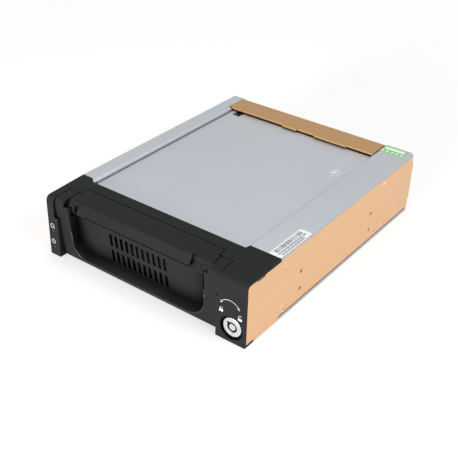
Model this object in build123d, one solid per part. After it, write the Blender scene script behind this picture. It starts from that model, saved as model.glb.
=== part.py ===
from build123d import *
import math
import os

# Hot swap drive cage for a half-height 5.25-inch bay: a fixed cage and a slide-out tray for a 3.5-inch drive.
# Millimetres. X runs left to right across the front, Y from the front to the rear, Z up.
# Pieces are modelled from the front lower left corner, and moved at the end so that the origin is at the
# centre of the cage's underside.

# Drive that the tray holds, and the room round it
DRIVE_WIDTH = 101.6
DRIVE_LENGTH = 147.0
DRIVE_HEIGHT = 26.1
DRIVE_HOLES_X = 95.25
DRIVE_HOLES_Y = 44.45
DRIVE_HOLE_REAR = 41.28
DRIVE_SIDE_ROOM = 2.9
DRIVE_HEADROOM = 6.4

# Bands beside the bay
BEZEL_DEPTH = 31.2
LEFT_BAND = 11.2
RIGHT_BAND = 21.4

# Sheets and boards
SHEET = 1.2
STRIP = 1.3
BASE = 1.6
BOARD = 1.2
BEND = 1.6

# Clearances
FIT = 0.3
RUN = 0.05
SLIDE = 0.2
SWING = 0.7
EAR_GAP = 0.7

# Bezel
TOP_FALL = 1.2
FRONT_ROUND = 3.4
SIDE_FACE = 1.3
TOP_EDGE = 2.0
FACE_WALL = 3.0
BEZEL_WALL = 1.5
BRIDGE_DROP = 1.9
BRIDGE_BACK = 28.0
LEFT_OVERLAP = 3.2
RIGHT_OVERLAP = 1.8
EAR_STEP_LEFT = 2.7
EAR_STEP_RIGHT = 0.6
STEP_HEIGHT = 27.0
EAR_BACK = 14.4
THROAT = 14.0
SILL_FRONT = 8.0
TAB_LENGTH = 10.8
TAB_WIDTH = 2.7
TAB_HALF = 3.5
BEZEL_SCREW_LOW = 5.1
BEZEL_SCREW_DROP = 6.8
RELIEF = 1.6
RELIEF_CORNER = 2.0
BRIDGE_SLANT = 4.0
SPLIT_HOLE = 1.5
SPLIT_HOLE_DROP = 0.8
SPLIT_HOLE_RISE = 2.2
LAMP_X = 3.15
LAMP_HIGH = 16.3
LAMP_LOW = 5.3
LAMP_R = 0.9
LAMP_LENGTH = 2.2
LAMP_SUNK = 0.7

# Lock
LOCK_FROM_RIGHT = 9.1
LOCK_Z = 9.6
LOCK_R = 6.0
LOCK_RIM = 1.5
LOCK_RECESS = 1.6
LOCK_SUNK = 0.6
LOCK_LENGTH = 20.0
CORE_R = 3.2
POST_R = 2.05
POST_SUNK = 0.3
KEYWAY_DEPTH = 6.0
KEYWAY_TURN = 50
NOTCH = 1.6
NOTCH_REACH = 4.2
POST_NOTCH = 0.7
POST_NOTCH_TURN = 20
TAIL_R = 1.5
CAM = 1.5
CAM_REACH = 8.0
CAM_HALF = 2.0
COLLAR_RING_R = 2.6
COLLAR_RING = 1.2
CLIP = 1.0
CLIP_LEFT = 7.0
CLIP_RIGHT = 5.8
CLIP_HALF = 7.4
CLIP_GROOVE = 0.8
SWITCH_HALF = 5.2
PIN_PITCH = 3.2
PIN_SIDE = 0.8

# Handle
EAR_WIDTH = 6.6
HANDLE_GAP = 1.0
PIVOT_Y = 8.0
PIVOT_DROP = 6.4
REAR_REACH = 13.2
END_REACH = 8.2
END_WIDTH = 1.6
PLATE = 2.1
KNUCKLE_R = 3.8
KNUCKLE_WIDTH = 5.0
PIN_R = 1.2
PIN_DEPTH = 5.0
BAND_LEFT = 8.4
BAND_RIGHT = 12.7
BAND_TOP_Y = 5.7
BAND_FOOT_Y = 2.6
BAND = 2.3
BAND_EDGE = 1.0
BAND_CORNER = 4.0
END_FRONT_Y = 5.6
END_FOOT_DROP = 3.6
END_ROUND = 3.0

# Tray front
FACE_TOP_Y = 1.2
FACE_FOOT_Y = 4.6
FOOT = 0.5
RECESS_MARGIN_LEFT = 2.25
RECESS_MARGIN_RIGHT = 2.05
RECESS_FOOT = -0.23
RECESS_ROUND_LEFT = 11.0
RECESS_ROUND_RIGHT = 15.0
RECESS_SIDE_DRAFT = 0.246
RECESS_FLOOR_RISE = 0.618
RECESS_ROUND_FALL = 0.4
WALL_TOP_Y = 6.95
WALL_FOOT_Y = 10.0
WALL_FOOT = 5.0
WALL_DROP = 4.7
WALL = 1.2
POCKET_FLOOR = 6.5
COLUMN_BACK = 3.3
COLUMN_RISE = 1.6
SLIT = 0.9
SLIT_FOOT = 25.5
SLOT_COUNT = 11
SLOT_PITCH = 4.08
SLOT_MARGIN = 27.95
SLOT_WIDTH = 2.3
SLOT_HEIGHT = 9.0
SLOT_LOW = 6.8
SLOT_HIGH = 18.4
ARM_LENGTH = 18.0
ARM_DROP = 3.0

# Tray body
GLIDE = 1.0
GLIDE_WIDTH = 7.0
RUNNER = 1.5
RUNNER_FLOOR = 1.4
RUNNER_HEIGHT = 11.0
SHELF = 8.0
EAR_SHEET = 6.0
PAN_VENTS = 9
PAN_VENT_PITCH = 9.0
PAN_VENT_LENGTH = 38.0
PAN_VENT = 3.4
PAN_VENT_FIRST = 44.0
PAN_VENT_STEP = 59.0
WINDOWS = 4
WINDOW_FIRST = 23.5
WINDOW_STEP = 32.3
WINDOW_LENGTH = 16.0
WINDOW_DROP = 12.0
WINDOW_HEIGHT = 6.0
COVER_SHEET = 1.2
COVER_LIP = 5.0
COVER_LIP_SHEET = 1.0
COVER_TRAVEL = 6.5
COVER_OVERHANG = 1.2
COVER_REAR_GAP = 0.5
COVER_NOTCH = 6.0
COVER_NOTCH_DEPTH = 5.5
COVER_NOTCH_X = 3.3
SPRING_WIDTH = 5.8
SPRING_LENGTH = 7.0
SPRING_RISE = 2.0
SPRING_SHEET = 0.5
SPRING_DROP = 3.4
ARM_SCREW_BACK = 4.0
ARM_SCREW_LOW = 8.0
ARM_SCREW_DROP = 9.0
ARM_SCREW_POINT = 0.8
PAN_TAIL = 0.6

# Rear end
RECEPTACLE = 3.6
RECEPTACLE_WIDTH = 39.0
RECEPTACLE_HEIGHT = 6.2
RECEPTACLE_LIFT = 2.4
RECEPTACLE_WALL = 1.2
RECEPTACLE_KEY = 13.0
TONGUE_GAP = 0.8
TONGUE = 1.2
PLUG_LENGTH = 3.8
PLUG_FOOT = 0.6
PLUG_FOOT_HALF = 3.0
PLUG_HALF = 20.0
BLADE_HALF = 16.0
BLADE = 1.4
PLUG_LIFT = 16.0
SOCKET_LENGTH = 3.6
SOCKET_HALF = 19.0
SOCKET_HEIGHT = 7.2
REAR_SOCKET = 6.8
POWER_WIDTH = 22.2
POWER_HEIGHT = 8.6
POWER_LIFT = 4.4
POWER_PITCH = 5.08
POWER_PIN_R = 1.05
DATA_WIDTH = 14.6
DATA_HEIGHT = 5.8
DATA_LIFT = 5.4
DATA_WALL = 1.2
DATA_LIP = 1.0
SOCKET_GAP = 6.8
POWER_FROM_FAN = 15.5
SOCKET_BACK = 0.8
BOARD_MARGIN = 4.0
BACKPLANE_DROP = 3.0
TRAY_BOARD_LIFT = 0.4
TRAY_BOARD_DROP = 2.0
BOARD_SCREW_EDGE = 3.2
BOARD_SCREW_LOW = 4.0
BOARD_SCREW_DROP = 6.0
STANDOFF_MARGIN = 4.5
STANDOFF_LOW = 3.8
STANDOFF_DROP = 4.0
STANDOFF_R = 2.6
CROSS_DEPTH = 17.8
CROSS_OVERLAP = 2.8
TAB_REACH = 1.4
FIRST_TAB = 46.0
FIRST_TAB_WIDTH = 11.5
SECOND_TAB = 71.9
SECOND_TAB_WIDTH = 24.4
REAR_VENTS = 4
REAR_VENT_PITCH = 4.4
REAR_VENT = 2.6
REAR_VENT_HEIGHT = 14.0
FAN_ROOM = 6.3
FAN_DEPTH = 10.0
FAN_RIM = 1.1
FAN_CORNER = 3.0
HUB_R = 7.6
HUB_WALL = 1.0
CUP_R = 2.2
SHAFT_R = 1.0
STRUT = 1.6
BLADES = 7
BLADE_SHEET = 0.8
BLADE_ROOT = 5.6
BLADE_ROOT_TURN = 42
BLADE_TIP = 7.0
BLADE_TIP_TURN = 58
BLADE_SKEW = 1.4
BLADE_CLEAR = 0.5
FAN_SCREW_LENGTH = 6.0
FAN_WINDOW_RISE = 3.0
FAN_WINDOW_DROP = 1.0
FAN_FROM_BAY = 26.8
RING_FIRST = 5.2
RING_STEP = 4.4
RING_COUNT = 3
RING_SLOT = 2.6
RING_BRIDGE = 2.2

# Bay fixing holes, as the half-height bay standard sets them
HOLE_PITCH_Y = 79.25
HOLE_PITCH_Z = 11.93
HOLE_FIRST_Y = 52.6
HOLE_FIRST_Z = 9.91
HOLE_PITCH_X = 139.7
HOLE_R = 1.25
COLLAR_R = 2.4
COLLAR = 1.4

# Side panels and base
PANEL_FLANGE = 9.0
PANEL_FOOT = 5.5
CHANNEL_FOOT_LEFT = 4.6
CHANNEL_FOOT_RIGHT = 8.6
STRIP_CORNER = 2.4
SIDE_SLIT = 8.0
SIDE_SLIT_DEPTH = 1.1
SIDE_REAR_STEP = 0.8
SIDE_REAR_DROP = 0.9
SIDE_SLANT = 4.2
SIDE_SLANT_DROP = 9.0
BASE_SCREW_FRONT = 12.0
BASE_SCREW_REAR = 22.0
BASE_SCREW_LEFT = 2.5
BASE_SCREW_RIGHT = 4.5
BASE_VENTS = 7
BASE_VENT_PITCH = 12.0
BASE_VENT_LENGTH = 60.0
BASE_VENT = 3.2
BASE_VENT_FIRST = 20.0
RIVET_BACK = (40.3, 37.9)
RIVET_DROP = 4.3
RIVET_LOW = 6.2
RIVET_R = 2.2

# Screws
SCREW_R = 1.4
HEAD_R = 2.6
HEAD = 1.1
BOARD_SCREW_R = 1.2
BOARD_HEAD_R = 2.2
BOARD_HEAD = 0.8

# Places worked out from the sizes above
GLIDE_TOP = BASE + GLIDE
RUNNER_FOOT = GLIDE_TOP + SLIDE
SHELF_UNDER = BASE + FIT + SLIDE
PAN_UNDER = RUNNER_FOOT + RUNNER_FLOOR
PAN_FLOOR = PAN_UNDER + SHEET
PAN_TOP = PAN_FLOOR + DRIVE_HEIGHT + DRIVE_HEADROOM - SLIDE
COVER_UNDER = PAN_TOP + SLIDE
COVER_TOP = COVER_UNDER + COVER_SHEET
BRIDGE_UNDER = COVER_TOP + FIT
HEIGHT = BRIDGE_UNDER + BRIDGE_DROP
BAY_WIDTH = DRIVE_WIDTH + 2 * (DRIVE_SIDE_ROOM + SHEET + RUNNER + FIT)
WIDTH = LEFT_BAND + BAY_WIDTH + RIGHT_BAND
BAY_LEFT = LEFT_BAND
BAY_RIGHT = WIDTH - RIGHT_BAND
OPEN_LEFT = BAY_LEFT - LEFT_OVERLAP
OPEN_RIGHT = BAY_RIGHT + RIGHT_OVERLAP
EAR_LEFT = OPEN_LEFT - EAR_STEP_LEFT
EAR_RIGHT = OPEN_RIGHT + EAR_STEP_RIGHT
HANDLE_LEFT = EAR_LEFT + EAR_GAP + EAR_WIDTH + HANDLE_GAP
HANDLE_RIGHT = EAR_RIGHT - EAR_GAP - EAR_WIDTH - HANDLE_GAP
PAN_FRONT = EAR_BACK - EAR_GAP + FIT
PIVOT_Z = HEIGHT - PIVOT_DROP
LOCK_X = WIDTH - LOCK_FROM_RIGHT
RUNNER_LEFT = BAY_LEFT + FIT
RUNNER_RIGHT = BAY_RIGHT - FIT
PAN_LEFT = RUNNER_LEFT + RUNNER
PAN_RIGHT = RUNNER_RIGHT - RUNNER
RECESS_LEFT = HANDLE_LEFT + RECESS_MARGIN_LEFT
RECESS_RIGHT = HANDLE_RIGHT - RECESS_MARGIN_RIGHT
WALL_TOP = PIVOT_Z - WALL_DROP
COLUMN_TOP = PIVOT_Z + COLUMN_RISE
END_FOOT = PIVOT_Z - END_FOOT_DROP
DRIVE_FRONT = PIVOT_Y + REAR_REACH + SHEET
DRIVE_REAR = DRIVE_FRONT + DRIVE_LENGTH
RECEPTACLE_Y = DRIVE_REAR + SLIDE
TRAY_BOARD_Y = RECEPTACLE_Y + RECEPTACLE
PLUG_Y = TRAY_BOARD_Y + BOARD
PLUG_END = PLUG_Y + PLUG_LENGTH
SOCKET_Y = PLUG_Y + SOCKET_BACK
BACKPLANE_Y = SOCKET_Y + SOCKET_LENGTH
REAR_SOCKET_Y = BACKPLANE_Y + BOARD
DEPTH = REAR_SOCKET_Y + REAR_SOCKET + SLIDE
REAR_FACE = DEPTH - SHEET
CROSS_FRONT = DEPTH - CROSS_DEPTH
CROSS_LEFT = LEFT_BAND - CROSS_OVERLAP
CROSS_RIGHT = BAY_RIGHT - FIT
COVER_REAR = CROSS_FRONT - COVER_REAR_GAP
COVER_FRONT = PIVOT_Y + REAR_REACH + SWING
FAN = HEIGHT - FAN_ROOM
FAN_BORE_R = FAN / 2 - FAN_RIM
FAN_HOLES = FAN - 2 * FAN_CORNER
FAN_X = BAY_LEFT + FAN_FROM_BAY
FAN_Y = REAR_FACE - FAN_DEPTH
FAN_Z = BASE + STRIP + FAN / 2
PANEL_TOP = HEIGHT - STRIP
FRONT_TOP = HEIGHT - TOP_EDGE
POWER_LEFT = FAN_X + FAN / 2 + POWER_FROM_FAN
DATA_LEFT = POWER_LEFT + POWER_WIDTH + SOCKET_GAP


def block(x0, x1, y0, y1, z0, z1):
    """A box between two corners."""
    centre = ((x0 + x1) / 2, (y0 + y1) / 2, (z0 + z1) / 2)
    return Pos(*centre) * Box(x1 - x0, y1 - y0, z1 - z0)


def rod_x(radius, x0, x1, y, z):
    """A round bar along X."""
    return Pos((x0 + x1) / 2, y, z) * Rot(0, 90, 0) * Cylinder(radius, x1 - x0)


def rod_y(radius, y0, y1, x, z):
    """A round bar along Y."""
    return Pos(x, (y0 + y1) / 2, z) * Rot(90, 0, 0) * Cylinder(radius, y1 - y0)


def rod_z(radius, z0, z1, x, y):
    """A round bar along Z."""
    return Pos(x, y, (z0 + z1) / 2) * Cylinder(radius, z1 - z0)


def side_prism(points, x0, x1):
    """A prism along X with an outline in Y and Z."""
    face = make_face(Polyline(*[(0, y, z) for y, z in points], close=True))
    return Pos(x0, 0, 0) * extrude(face, amount=x1 - x0, dir=(1, 0, 0))


def bent_sheet(points, thickness, radius, y0, y1):
    """A bent sheet along Y. The points give its outer line in X and Z, with the material on its left."""
    with BuildSketch(Plane.XZ) as section:
        with BuildLine():
            FilletPolyline(*points, radius=radius)
            offset(amount=thickness, side=Side.LEFT)
        make_face()
    return Pos(0, y0, 0) * extrude(section.sketch, amount=y1 - y0, dir=(0, 1, 0))


def front_slot(width, height, x, z, y0, y1):
    """A bar along Y with the outline of an upright slot."""
    outline = Pos(x, y0, z) * Rot(90, 0, 0) * Rot(0, 0, 90) * SlotOverall(height, width)
    return extrude(outline, amount=y1 - y0, dir=(0, 1, 0))


def rounded_box(x0, x1, y0, y1, z0, z1, radius):
    """A box with rounded edges along Y."""
    body = block(x0, x1, y0, y1, z0, z1)
    return fillet(body.edges().filter_by(Axis.Y), radius)


def surface_z(y):
    """Height of the sloping top of the bezel at a distance behind the front."""
    return HEIGHT - TOP_FALL * (1 - y / BEZEL_DEPTH)


def wall_y(z):
    """Front of the recess wall at a height."""
    lean = (WALL_FOOT_Y - WALL_TOP_Y) / (WALL_TOP - WALL_FOOT)
    return WALL_TOP_Y + lean * (WALL_TOP - z)


def front_top_edge(shape):
    """The long edge where a piece's front meets its top."""
    return shape.edges().filter_by(Axis.X).sort_by(lambda e: e.center().Z - e.center().Y)[-1:]


def save(node, shape):
    """Moves a piece to the model's origin and writes it."""
    placed = Pos(-WIDTH / 2, -DEPTH / 2, 0) * shape
    solids = placed.solids()
    result = solids[0] if len(solids) == 1 else Compound(children=list(solids))
    result.label = node
    export_step(result, f"parts/{node}.step")


def capped_profile(front_points, back_y, x0, x1):
    """The sloped-top slab with a rounded front upper edge."""
    body = side_prism(front_points, x0, x1)
    edges = body.edges().filter_by(Axis.X).filter_by(
        lambda e: e.center().Z > HEIGHT - TOP_FALL - 1 and e.center().Y < back_y / 2
    )
    return fillet(edges, FRONT_ROUND)


def front_bezel():
    """The black bezel: lamp column, lock panel, top bridge, sill and rear tabs."""
    outline = [(0, 0), (BEZEL_DEPTH, 0), (BEZEL_DEPTH, HEIGHT), (0, surface_z(0))]
    body = capped_profile(outline, BEZEL_DEPTH, 0, WIDTH)
    far = BEZEL_DEPTH + 1
    step = STEP_HEIGHT
    tools = [
        block(OPEN_LEFT, OPEN_RIGHT, -1, SILL_FRONT, -1, step),
        block(OPEN_LEFT, OPEN_RIGHT, 0, THROAT, BASE, step),
        block(EAR_LEFT, EAR_RIGHT, -1, EAR_BACK, step, HEIGHT + 1),
        block(BAY_LEFT, BAY_RIGHT, 0, far, BASE, BRIDGE_UNDER),
        split_hole(),
    ]
    centre_left = HANDLE_LEFT + END_WIDTH - SWING
    centre_right = HANDLE_RIGHT - END_WIDTH + SWING
    end_left, end_right = HANDLE_LEFT - HANDLE_GAP, HANDLE_RIGHT + HANDLE_GAP
    tools.append(rod_x(REAR_REACH + SWING, centre_left, centre_right, PIVOT_Y, PIVOT_Z))
    tools.append(rod_x(END_REACH + SWING, end_left, end_right, PIVOT_Y, PIVOT_Z))
    tools.append(bridge_step())
    tools += compartments(far)
    tools += side_reliefs(far)
    tools += lock_and_lamp_holes()
    body = body - tools
    body += bezel_tabs()
    return body - tab_holes()


def split_hole():
    """The small square opening beside the step of the right ear."""
    low, high = STEP_HEIGHT - SPLIT_HOLE_DROP, STEP_HEIGHT + SPLIT_HOLE_RISE
    return block(OPEN_RIGHT - 1, OPEN_RIGHT + SPLIT_HOLE, -1, FACE_WALL, low, high)


def bridge_step():
    """What the top loses behind the bridge, where the tray's cover shows."""
    points = [
        (BAY_LEFT - BRIDGE_SLANT, BEZEL_DEPTH + 1),
        (BAY_LEFT - BRIDGE_SLANT, BEZEL_DEPTH),
        (BAY_LEFT, BRIDGE_BACK),
        (BAY_RIGHT, BRIDGE_BACK),
        (BAY_RIGHT + 1.0, BEZEL_DEPTH),
        (BAY_RIGHT + 1.0, BEZEL_DEPTH + 1),
    ]
    face = make_face(Polyline(*[(x, y, 0) for x, y in points], close=True))
    return Pos(0, 0, FRONT_TOP) * extrude(face, amount=TOP_EDGE + 1, dir=(0, 0, 1))


def compartments(far):
    """Hollows of the lamp column and the lock panel, open to the rear."""
    thin = 0.8
    lid = FRONT_TOP - thin
    left = SIDE_FACE + thin
    right = WIDTH - SIDE_FACE - thin
    return [
        block(left, EAR_LEFT - thin, FACE_WALL, far, BASE, lid),
        block(left, BAY_LEFT - BEZEL_WALL, THROAT + BEZEL_WALL, far, BASE, lid),
        block(EAR_RIGHT + BEZEL_WALL, right, FACE_WALL, far, BASE, lid),
        block(BAY_RIGHT + BEZEL_WALL, right, THROAT + BEZEL_WALL, far, BASE, lid),
    ]


def side_reliefs(far):
    """Steps in the bezel's sides that take the front of the side panels."""
    tools = []
    for x0, x1 in ((-1, SIDE_FACE), (WIDTH - SIDE_FACE, WIDTH + 1)):
        step = block(x0, x1, SIDE_FACE, far, RELIEF, FRONT_TOP)
        tools.append(fillet(front_top_edge(step), RELIEF_CORNER))
        tools.append(block(x0, x1, SILL_FRONT, far, -1, FRONT_TOP))
    return tools


def lock_and_lamp_holes():
    """The lock's recess and hole, and the two lamp holes."""
    tools = [
        rod_y(LOCK_R + LOCK_RIM, -1, LOCK_RECESS, LOCK_X, LOCK_Z),
        rod_y(LOCK_R + RUN, 0, FACE_WALL + 1, LOCK_X, LOCK_Z),
    ]
    for z in (LAMP_LOW, LAMP_HIGH):
        tools.append(rod_y(LAMP_R + RUN, -1, FACE_WALL + 1, LAMP_X, z))
    return tools


def screw_heights():
    """Heights of the two bezel screws in each side panel."""
    return (BEZEL_SCREW_LOW, HEIGHT - BEZEL_SCREW_DROP)


def bezel_tabs():
    """Four tabs behind the bezel that the side screws hold."""
    tabs = []
    for z in screw_heights():
        low = max(BASE + SHEET + FIT, z - TAB_HALF)
        high = min(FRONT_TOP - FIT, z + TAB_HALF)
        for x0 in (SIDE_FACE, WIDTH - SIDE_FACE - TAB_WIDTH):
            tabs.append(block(x0, x0 + TAB_WIDTH, BEZEL_DEPTH - 6, BEZEL_DEPTH + TAB_LENGTH, low, high))
    return tabs


def tab_holes():
    """Screw holes through the bezel's tabs."""
    y = BEZEL_DEPTH + TAB_LENGTH / 2
    holes = []
    for z in screw_heights():
        holes.append(rod_x(SCREW_R, -1, SIDE_FACE + TAB_WIDTH + 1, y, z))
        holes.append(rod_x(SCREW_R, WIDTH - SIDE_FACE - TAB_WIDTH - 1, WIDTH + 1, y, z))
    return holes


def bay_hole_places():
    """Y and Z of the four standard holes in each side."""
    return [(HOLE_FIRST_Y + i * HOLE_PITCH_Y, HOLE_FIRST_Z + j * HOLE_PITCH_Z) for i in (0, 1) for j in (0, 1)]


def rivet_places():
    """Y and Z of the flush rivets in each side panel."""
    return [(DEPTH - RIVET_BACK[0], HEIGHT - RIVET_DROP), (DEPTH - RIVET_BACK[1], RIVET_LOW)]


def side_panel():
    """The left side panel, with its flanges, extruded screw collars and countersunk holes."""
    points = [(PANEL_FLANGE, PANEL_TOP), (0, PANEL_TOP), (0, BASE), (PANEL_FOOT, BASE)]
    body = bent_sheet(points, SHEET, BEND, BEZEL_DEPTH, DEPTH)
    front = block(0, SHEET, SIDE_FACE, BEZEL_DEPTH + 1, BASE + 1, FRONT_TOP - RUN)
    body += fillet(front_top_edge(front), RELIEF_CORNER)
    body += block(0, SHEET, SILL_FRONT + SLIDE, BEZEL_DEPTH - SLIDE, SLIDE, BASE + 2)
    body += block(0, SHEET, SIDE_FACE, SILL_FRONT + SLIDE + 1, RELIEF + RUN, BASE + 2)
    for y, z in bay_hole_places():
        body += rod_x(COLLAR_R, SHEET, SHEET + COLLAR, y, z)
    return body - side_panel_cuts()


def side_panel_cuts():
    """Holes, the front slit and the shaped rear edge of a side panel."""
    tools = [rod_x(HOLE_R, -1, SHEET + COLLAR + 1, y, z) for y, z in bay_hole_places()]
    slit = SILL_FRONT + 1
    tools.append(block(-1, SHEET + 1, slit, slit + SIDE_SLIT, FRONT_TOP - SIDE_SLIT_DEPTH, FRONT_TOP + 1))
    y_screw = BEZEL_DEPTH + TAB_LENGTH / 2
    for z in screw_heights():
        tools.append(rod_x(HEAD_R, -1, SHEET + 1, y_screw, z))
    for y, z in rivet_places():
        tools.append(rod_x(RIVET_R, -1, SHEET + 1, y, z))
    for y in (HOLE_FIRST_Y, HOLE_FIRST_Y + HOLE_PITCH_Y):
        tools.append(rod_z(HOLE_R, -1, BASE + SHEET + 1, (WIDTH - HOLE_PITCH_X) / 2, y))
    outer = PANEL_FLANGE + 1
    notch = HOLE_FIRST_Z - SIDE_REAR_DROP
    tools.append(block(-1, outer, DEPTH - SIDE_REAR_STEP, DEPTH + 1, notch, HEIGHT))
    tools.append(block(-1, outer, DEPTH - BASE, DEPTH + 1, 0, notch))
    tools.append(block(SHEET, outer, REAR_FACE - FIT, DEPTH + 1, 0, HEIGHT))
    slant = [(DEPTH - SIDE_SLANT, HEIGHT), (DEPTH + 1, HEIGHT), (DEPTH + 1, PANEL_TOP - SIDE_SLANT_DROP)]
    tools.append(side_prism(slant, -1, SHEET + 0.5))
    return tools


def mirrored(shape):
    """The piece on the other side of the cage."""
    return mirror(shape, about=Plane.YZ.offset(WIDTH / 2))


def base_plate():
    """The flat base with raised stiffening swages, a vent field and its holes."""
    body = block(0, WIDTH, BEZEL_DEPTH, DEPTH - BASE, 0, BASE)
    body = fillet(body.edges().filter_by(Axis.Z), 1.5)
    tools = []
    for i in range(BASE_VENTS):
        x = BAY_LEFT + BASE_VENT_FIRST + i * BASE_VENT_PITCH
        outline = Rot(0, 0, 90) * SlotOverall(BASE_VENT_LENGTH, BASE_VENT)
        tools.append(extrude(Pos(x, (BEZEL_DEPTH + DEPTH) / 2, -1) * outline, amount=BASE + 2))
    for x, y in base_screw_places():
        tools.append(rod_z(SCREW_R, -1, BASE + 1, x, y))
    for x in ((WIDTH - HOLE_PITCH_X) / 2, (WIDTH + HOLE_PITCH_X) / 2):
        for y in (HOLE_FIRST_Y, HOLE_FIRST_Y + HOLE_PITCH_Y):
            tools.append(rod_z(HOLE_R, -1, BASE + 1, x, y))
    return body - tools


def base_screw_places():
    """X and Y of the screws that hold the channels to the base."""
    ys = (BEZEL_DEPTH + BASE_SCREW_FRONT, DEPTH - BASE_SCREW_REAR)
    return [(x, y) for x in (BAY_LEFT - BASE_SCREW_LEFT, BAY_RIGHT + BASE_SCREW_RIGHT) for y in ys]


def left_channel():
    """The left inner wall, bent over at the top into the silver strip."""
    points = [(BAY_LEFT - CHANNEL_FOOT_LEFT, BASE), (BAY_LEFT, BASE), (BAY_LEFT, HEIGHT), (0, HEIGHT)]
    body = bent_sheet(points, STRIP, BEND, BRIDGE_BACK, DEPTH)
    tools = [
        block(CROSS_LEFT - FIT, BAY_LEFT + 1, CROSS_FRONT - TAB_REACH, DEPTH + 1, PANEL_TOP - 2, HEIGHT + 1),
        block(-1, BAY_LEFT + 1, REAR_FACE - FIT, DEPTH + 1, -1, PANEL_TOP),
        block(-1, BAY_LEFT + 1, BRIDGE_BACK - 1, BEZEL_DEPTH, -1, PANEL_TOP),
        tongue_front(),
    ]
    for x, y in base_screw_places()[:2]:
        tools.append(rod_z(SCREW_R, 0, BASE + STRIP + 1, x, y))
    return body - tools


def tongue_front():
    """What the left strip loses in front of its tongue, along the bridge's slanted corner."""
    points = [
        (-1, BRIDGE_BACK - 1),
        (BAY_LEFT + 1, BRIDGE_BACK - 1),
        (BAY_LEFT + 1, BRIDGE_BACK + FIT),
        (BAY_LEFT, BRIDGE_BACK + FIT),
        (BAY_LEFT - BRIDGE_SLANT + FIT, BEZEL_DEPTH),
        (-1, BEZEL_DEPTH),
    ]
    face = make_face(Polyline(*[(x, y, 0) for x, y in points], close=True))
    return Pos(0, 0, PANEL_TOP - 1) * extrude(face, amount=STRIP + 2, dir=(0, 0, 1))


def right_channel():
    """The right inner wall, bent over at the top into the broad silver strip."""
    points = [(WIDTH, HEIGHT), (BAY_RIGHT, HEIGHT), (BAY_RIGHT, BASE), (BAY_RIGHT + CHANNEL_FOOT_RIGHT, BASE)]
    body = bent_sheet(points, STRIP, BEND, BEZEL_DEPTH, DEPTH)
    tools = [side_corner(), block(BAY_RIGHT - 1, WIDTH + 1, REAR_FACE - FIT, DEPTH + 1, -1, PANEL_TOP)]
    for x, y in base_screw_places()[2:]:
        tools.append(rod_z(SCREW_R, 0, BASE + STRIP + 1, x, y))
    return body - tools


def side_corner():
    """The corner cut off the right strip at the rear."""
    points = [(WIDTH - STRIP_CORNER, DEPTH), (WIDTH, DEPTH), (WIDTH, DEPTH - STRIP_CORNER)]
    face = make_face(Polyline(*[(x, y, 0) for x, y in points], close=True))
    return Pos(0, 0, PANEL_TOP - 0.5) * extrude(face, amount=STRIP + 1, dir=(0, 0, 1))


def rear_panel():
    """The rear panel, bent over at the top into the crosspiece, with fan and socket openings."""
    foot = BASE + RUN
    points = [(DEPTH, foot), (DEPTH, HEIGHT), (CROSS_FRONT, HEIGHT)]
    with BuildSketch(Plane.YZ) as section:
        with BuildLine():
            FilletPolyline(*points, radius=BEND)
            offset(amount=SHEET, side=Side.LEFT)
        make_face()
    body = Pos(CROSS_LEFT, 0, 0) * extrude(section.sketch, amount=CROSS_RIGHT - CROSS_LEFT, dir=(1, 0, 0))
    for start, width in ((FIRST_TAB, FIRST_TAB_WIDTH), (SECOND_TAB, SECOND_TAB_WIDTH)):
        x = CROSS_LEFT + start
        body += block(x, x + width, CROSS_FRONT - TAB_REACH, CROSS_FRONT + 1, HEIGHT - SHEET, HEIGHT)
    body += block(SHEET + RUN, CROSS_LEFT + 1, REAR_FACE, DEPTH, foot, PANEL_TOP - SHEET)
    body += block(CROSS_RIGHT - 1, WIDTH - SHEET - RUN, REAR_FACE, DEPTH, foot, PANEL_TOP - SHEET)
    tools = fan_openings()
    tools.append(block(*data_box(FIT), REAR_FACE - 1, DEPTH + 1, *data_height(FIT)))
    tools.append(block(*power_box(FIT), REAR_FACE - 1, DEPTH + 1, *power_height(FIT)))
    for x, z in standoff_places():
        tools.append(rod_y(SCREW_R, REAR_FACE - 1, DEPTH + 1, x, z))
    middle = BAY_RIGHT + (RIGHT_BAND - SHEET) / 2
    for i in range(REAR_VENTS):
        x = middle + (i - (REAR_VENTS - 1) / 2) * REAR_VENT_PITCH
        tools.append(front_slot(REAR_VENT, REAR_VENT_HEIGHT, x, FAN_Z, REAR_FACE - 1, DEPTH + 1))
    return body - tools


def fan_openings():
    """Arc slots in front of the fan and its four screw holes."""
    tools = []
    for i in range(RING_COUNT):
        radius = RING_FIRST + i * RING_STEP
        margin = math.degrees((RING_SLOT + RING_BRIDGE) / 2 / radius)
        for quarter in range(4):
            arc = CenterArc((0, 0), radius, quarter * 90 + margin, 90 - 2 * margin)
            ring = SlotArc(arc, RING_SLOT)
            slot = extrude(Plane.XZ * ring, amount=3 * SHEET, dir=(0, 1, 0))
            tools.append(Pos(FAN_X, REAR_FACE - SHEET, FAN_Z) * slot)
    for x, z in fan_hole_places():
        tools.append(rod_y(SCREW_R, REAR_FACE - 1, DEPTH + 1, x, z))
    return tools


def fan_hole_places():
    """X and Z of the fan's four screws."""
    half = FAN_HOLES / 2
    return [(FAN_X + sx * half, FAN_Z + sz * half) for sx in (-1, 1) for sz in (-1, 1)]


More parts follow.
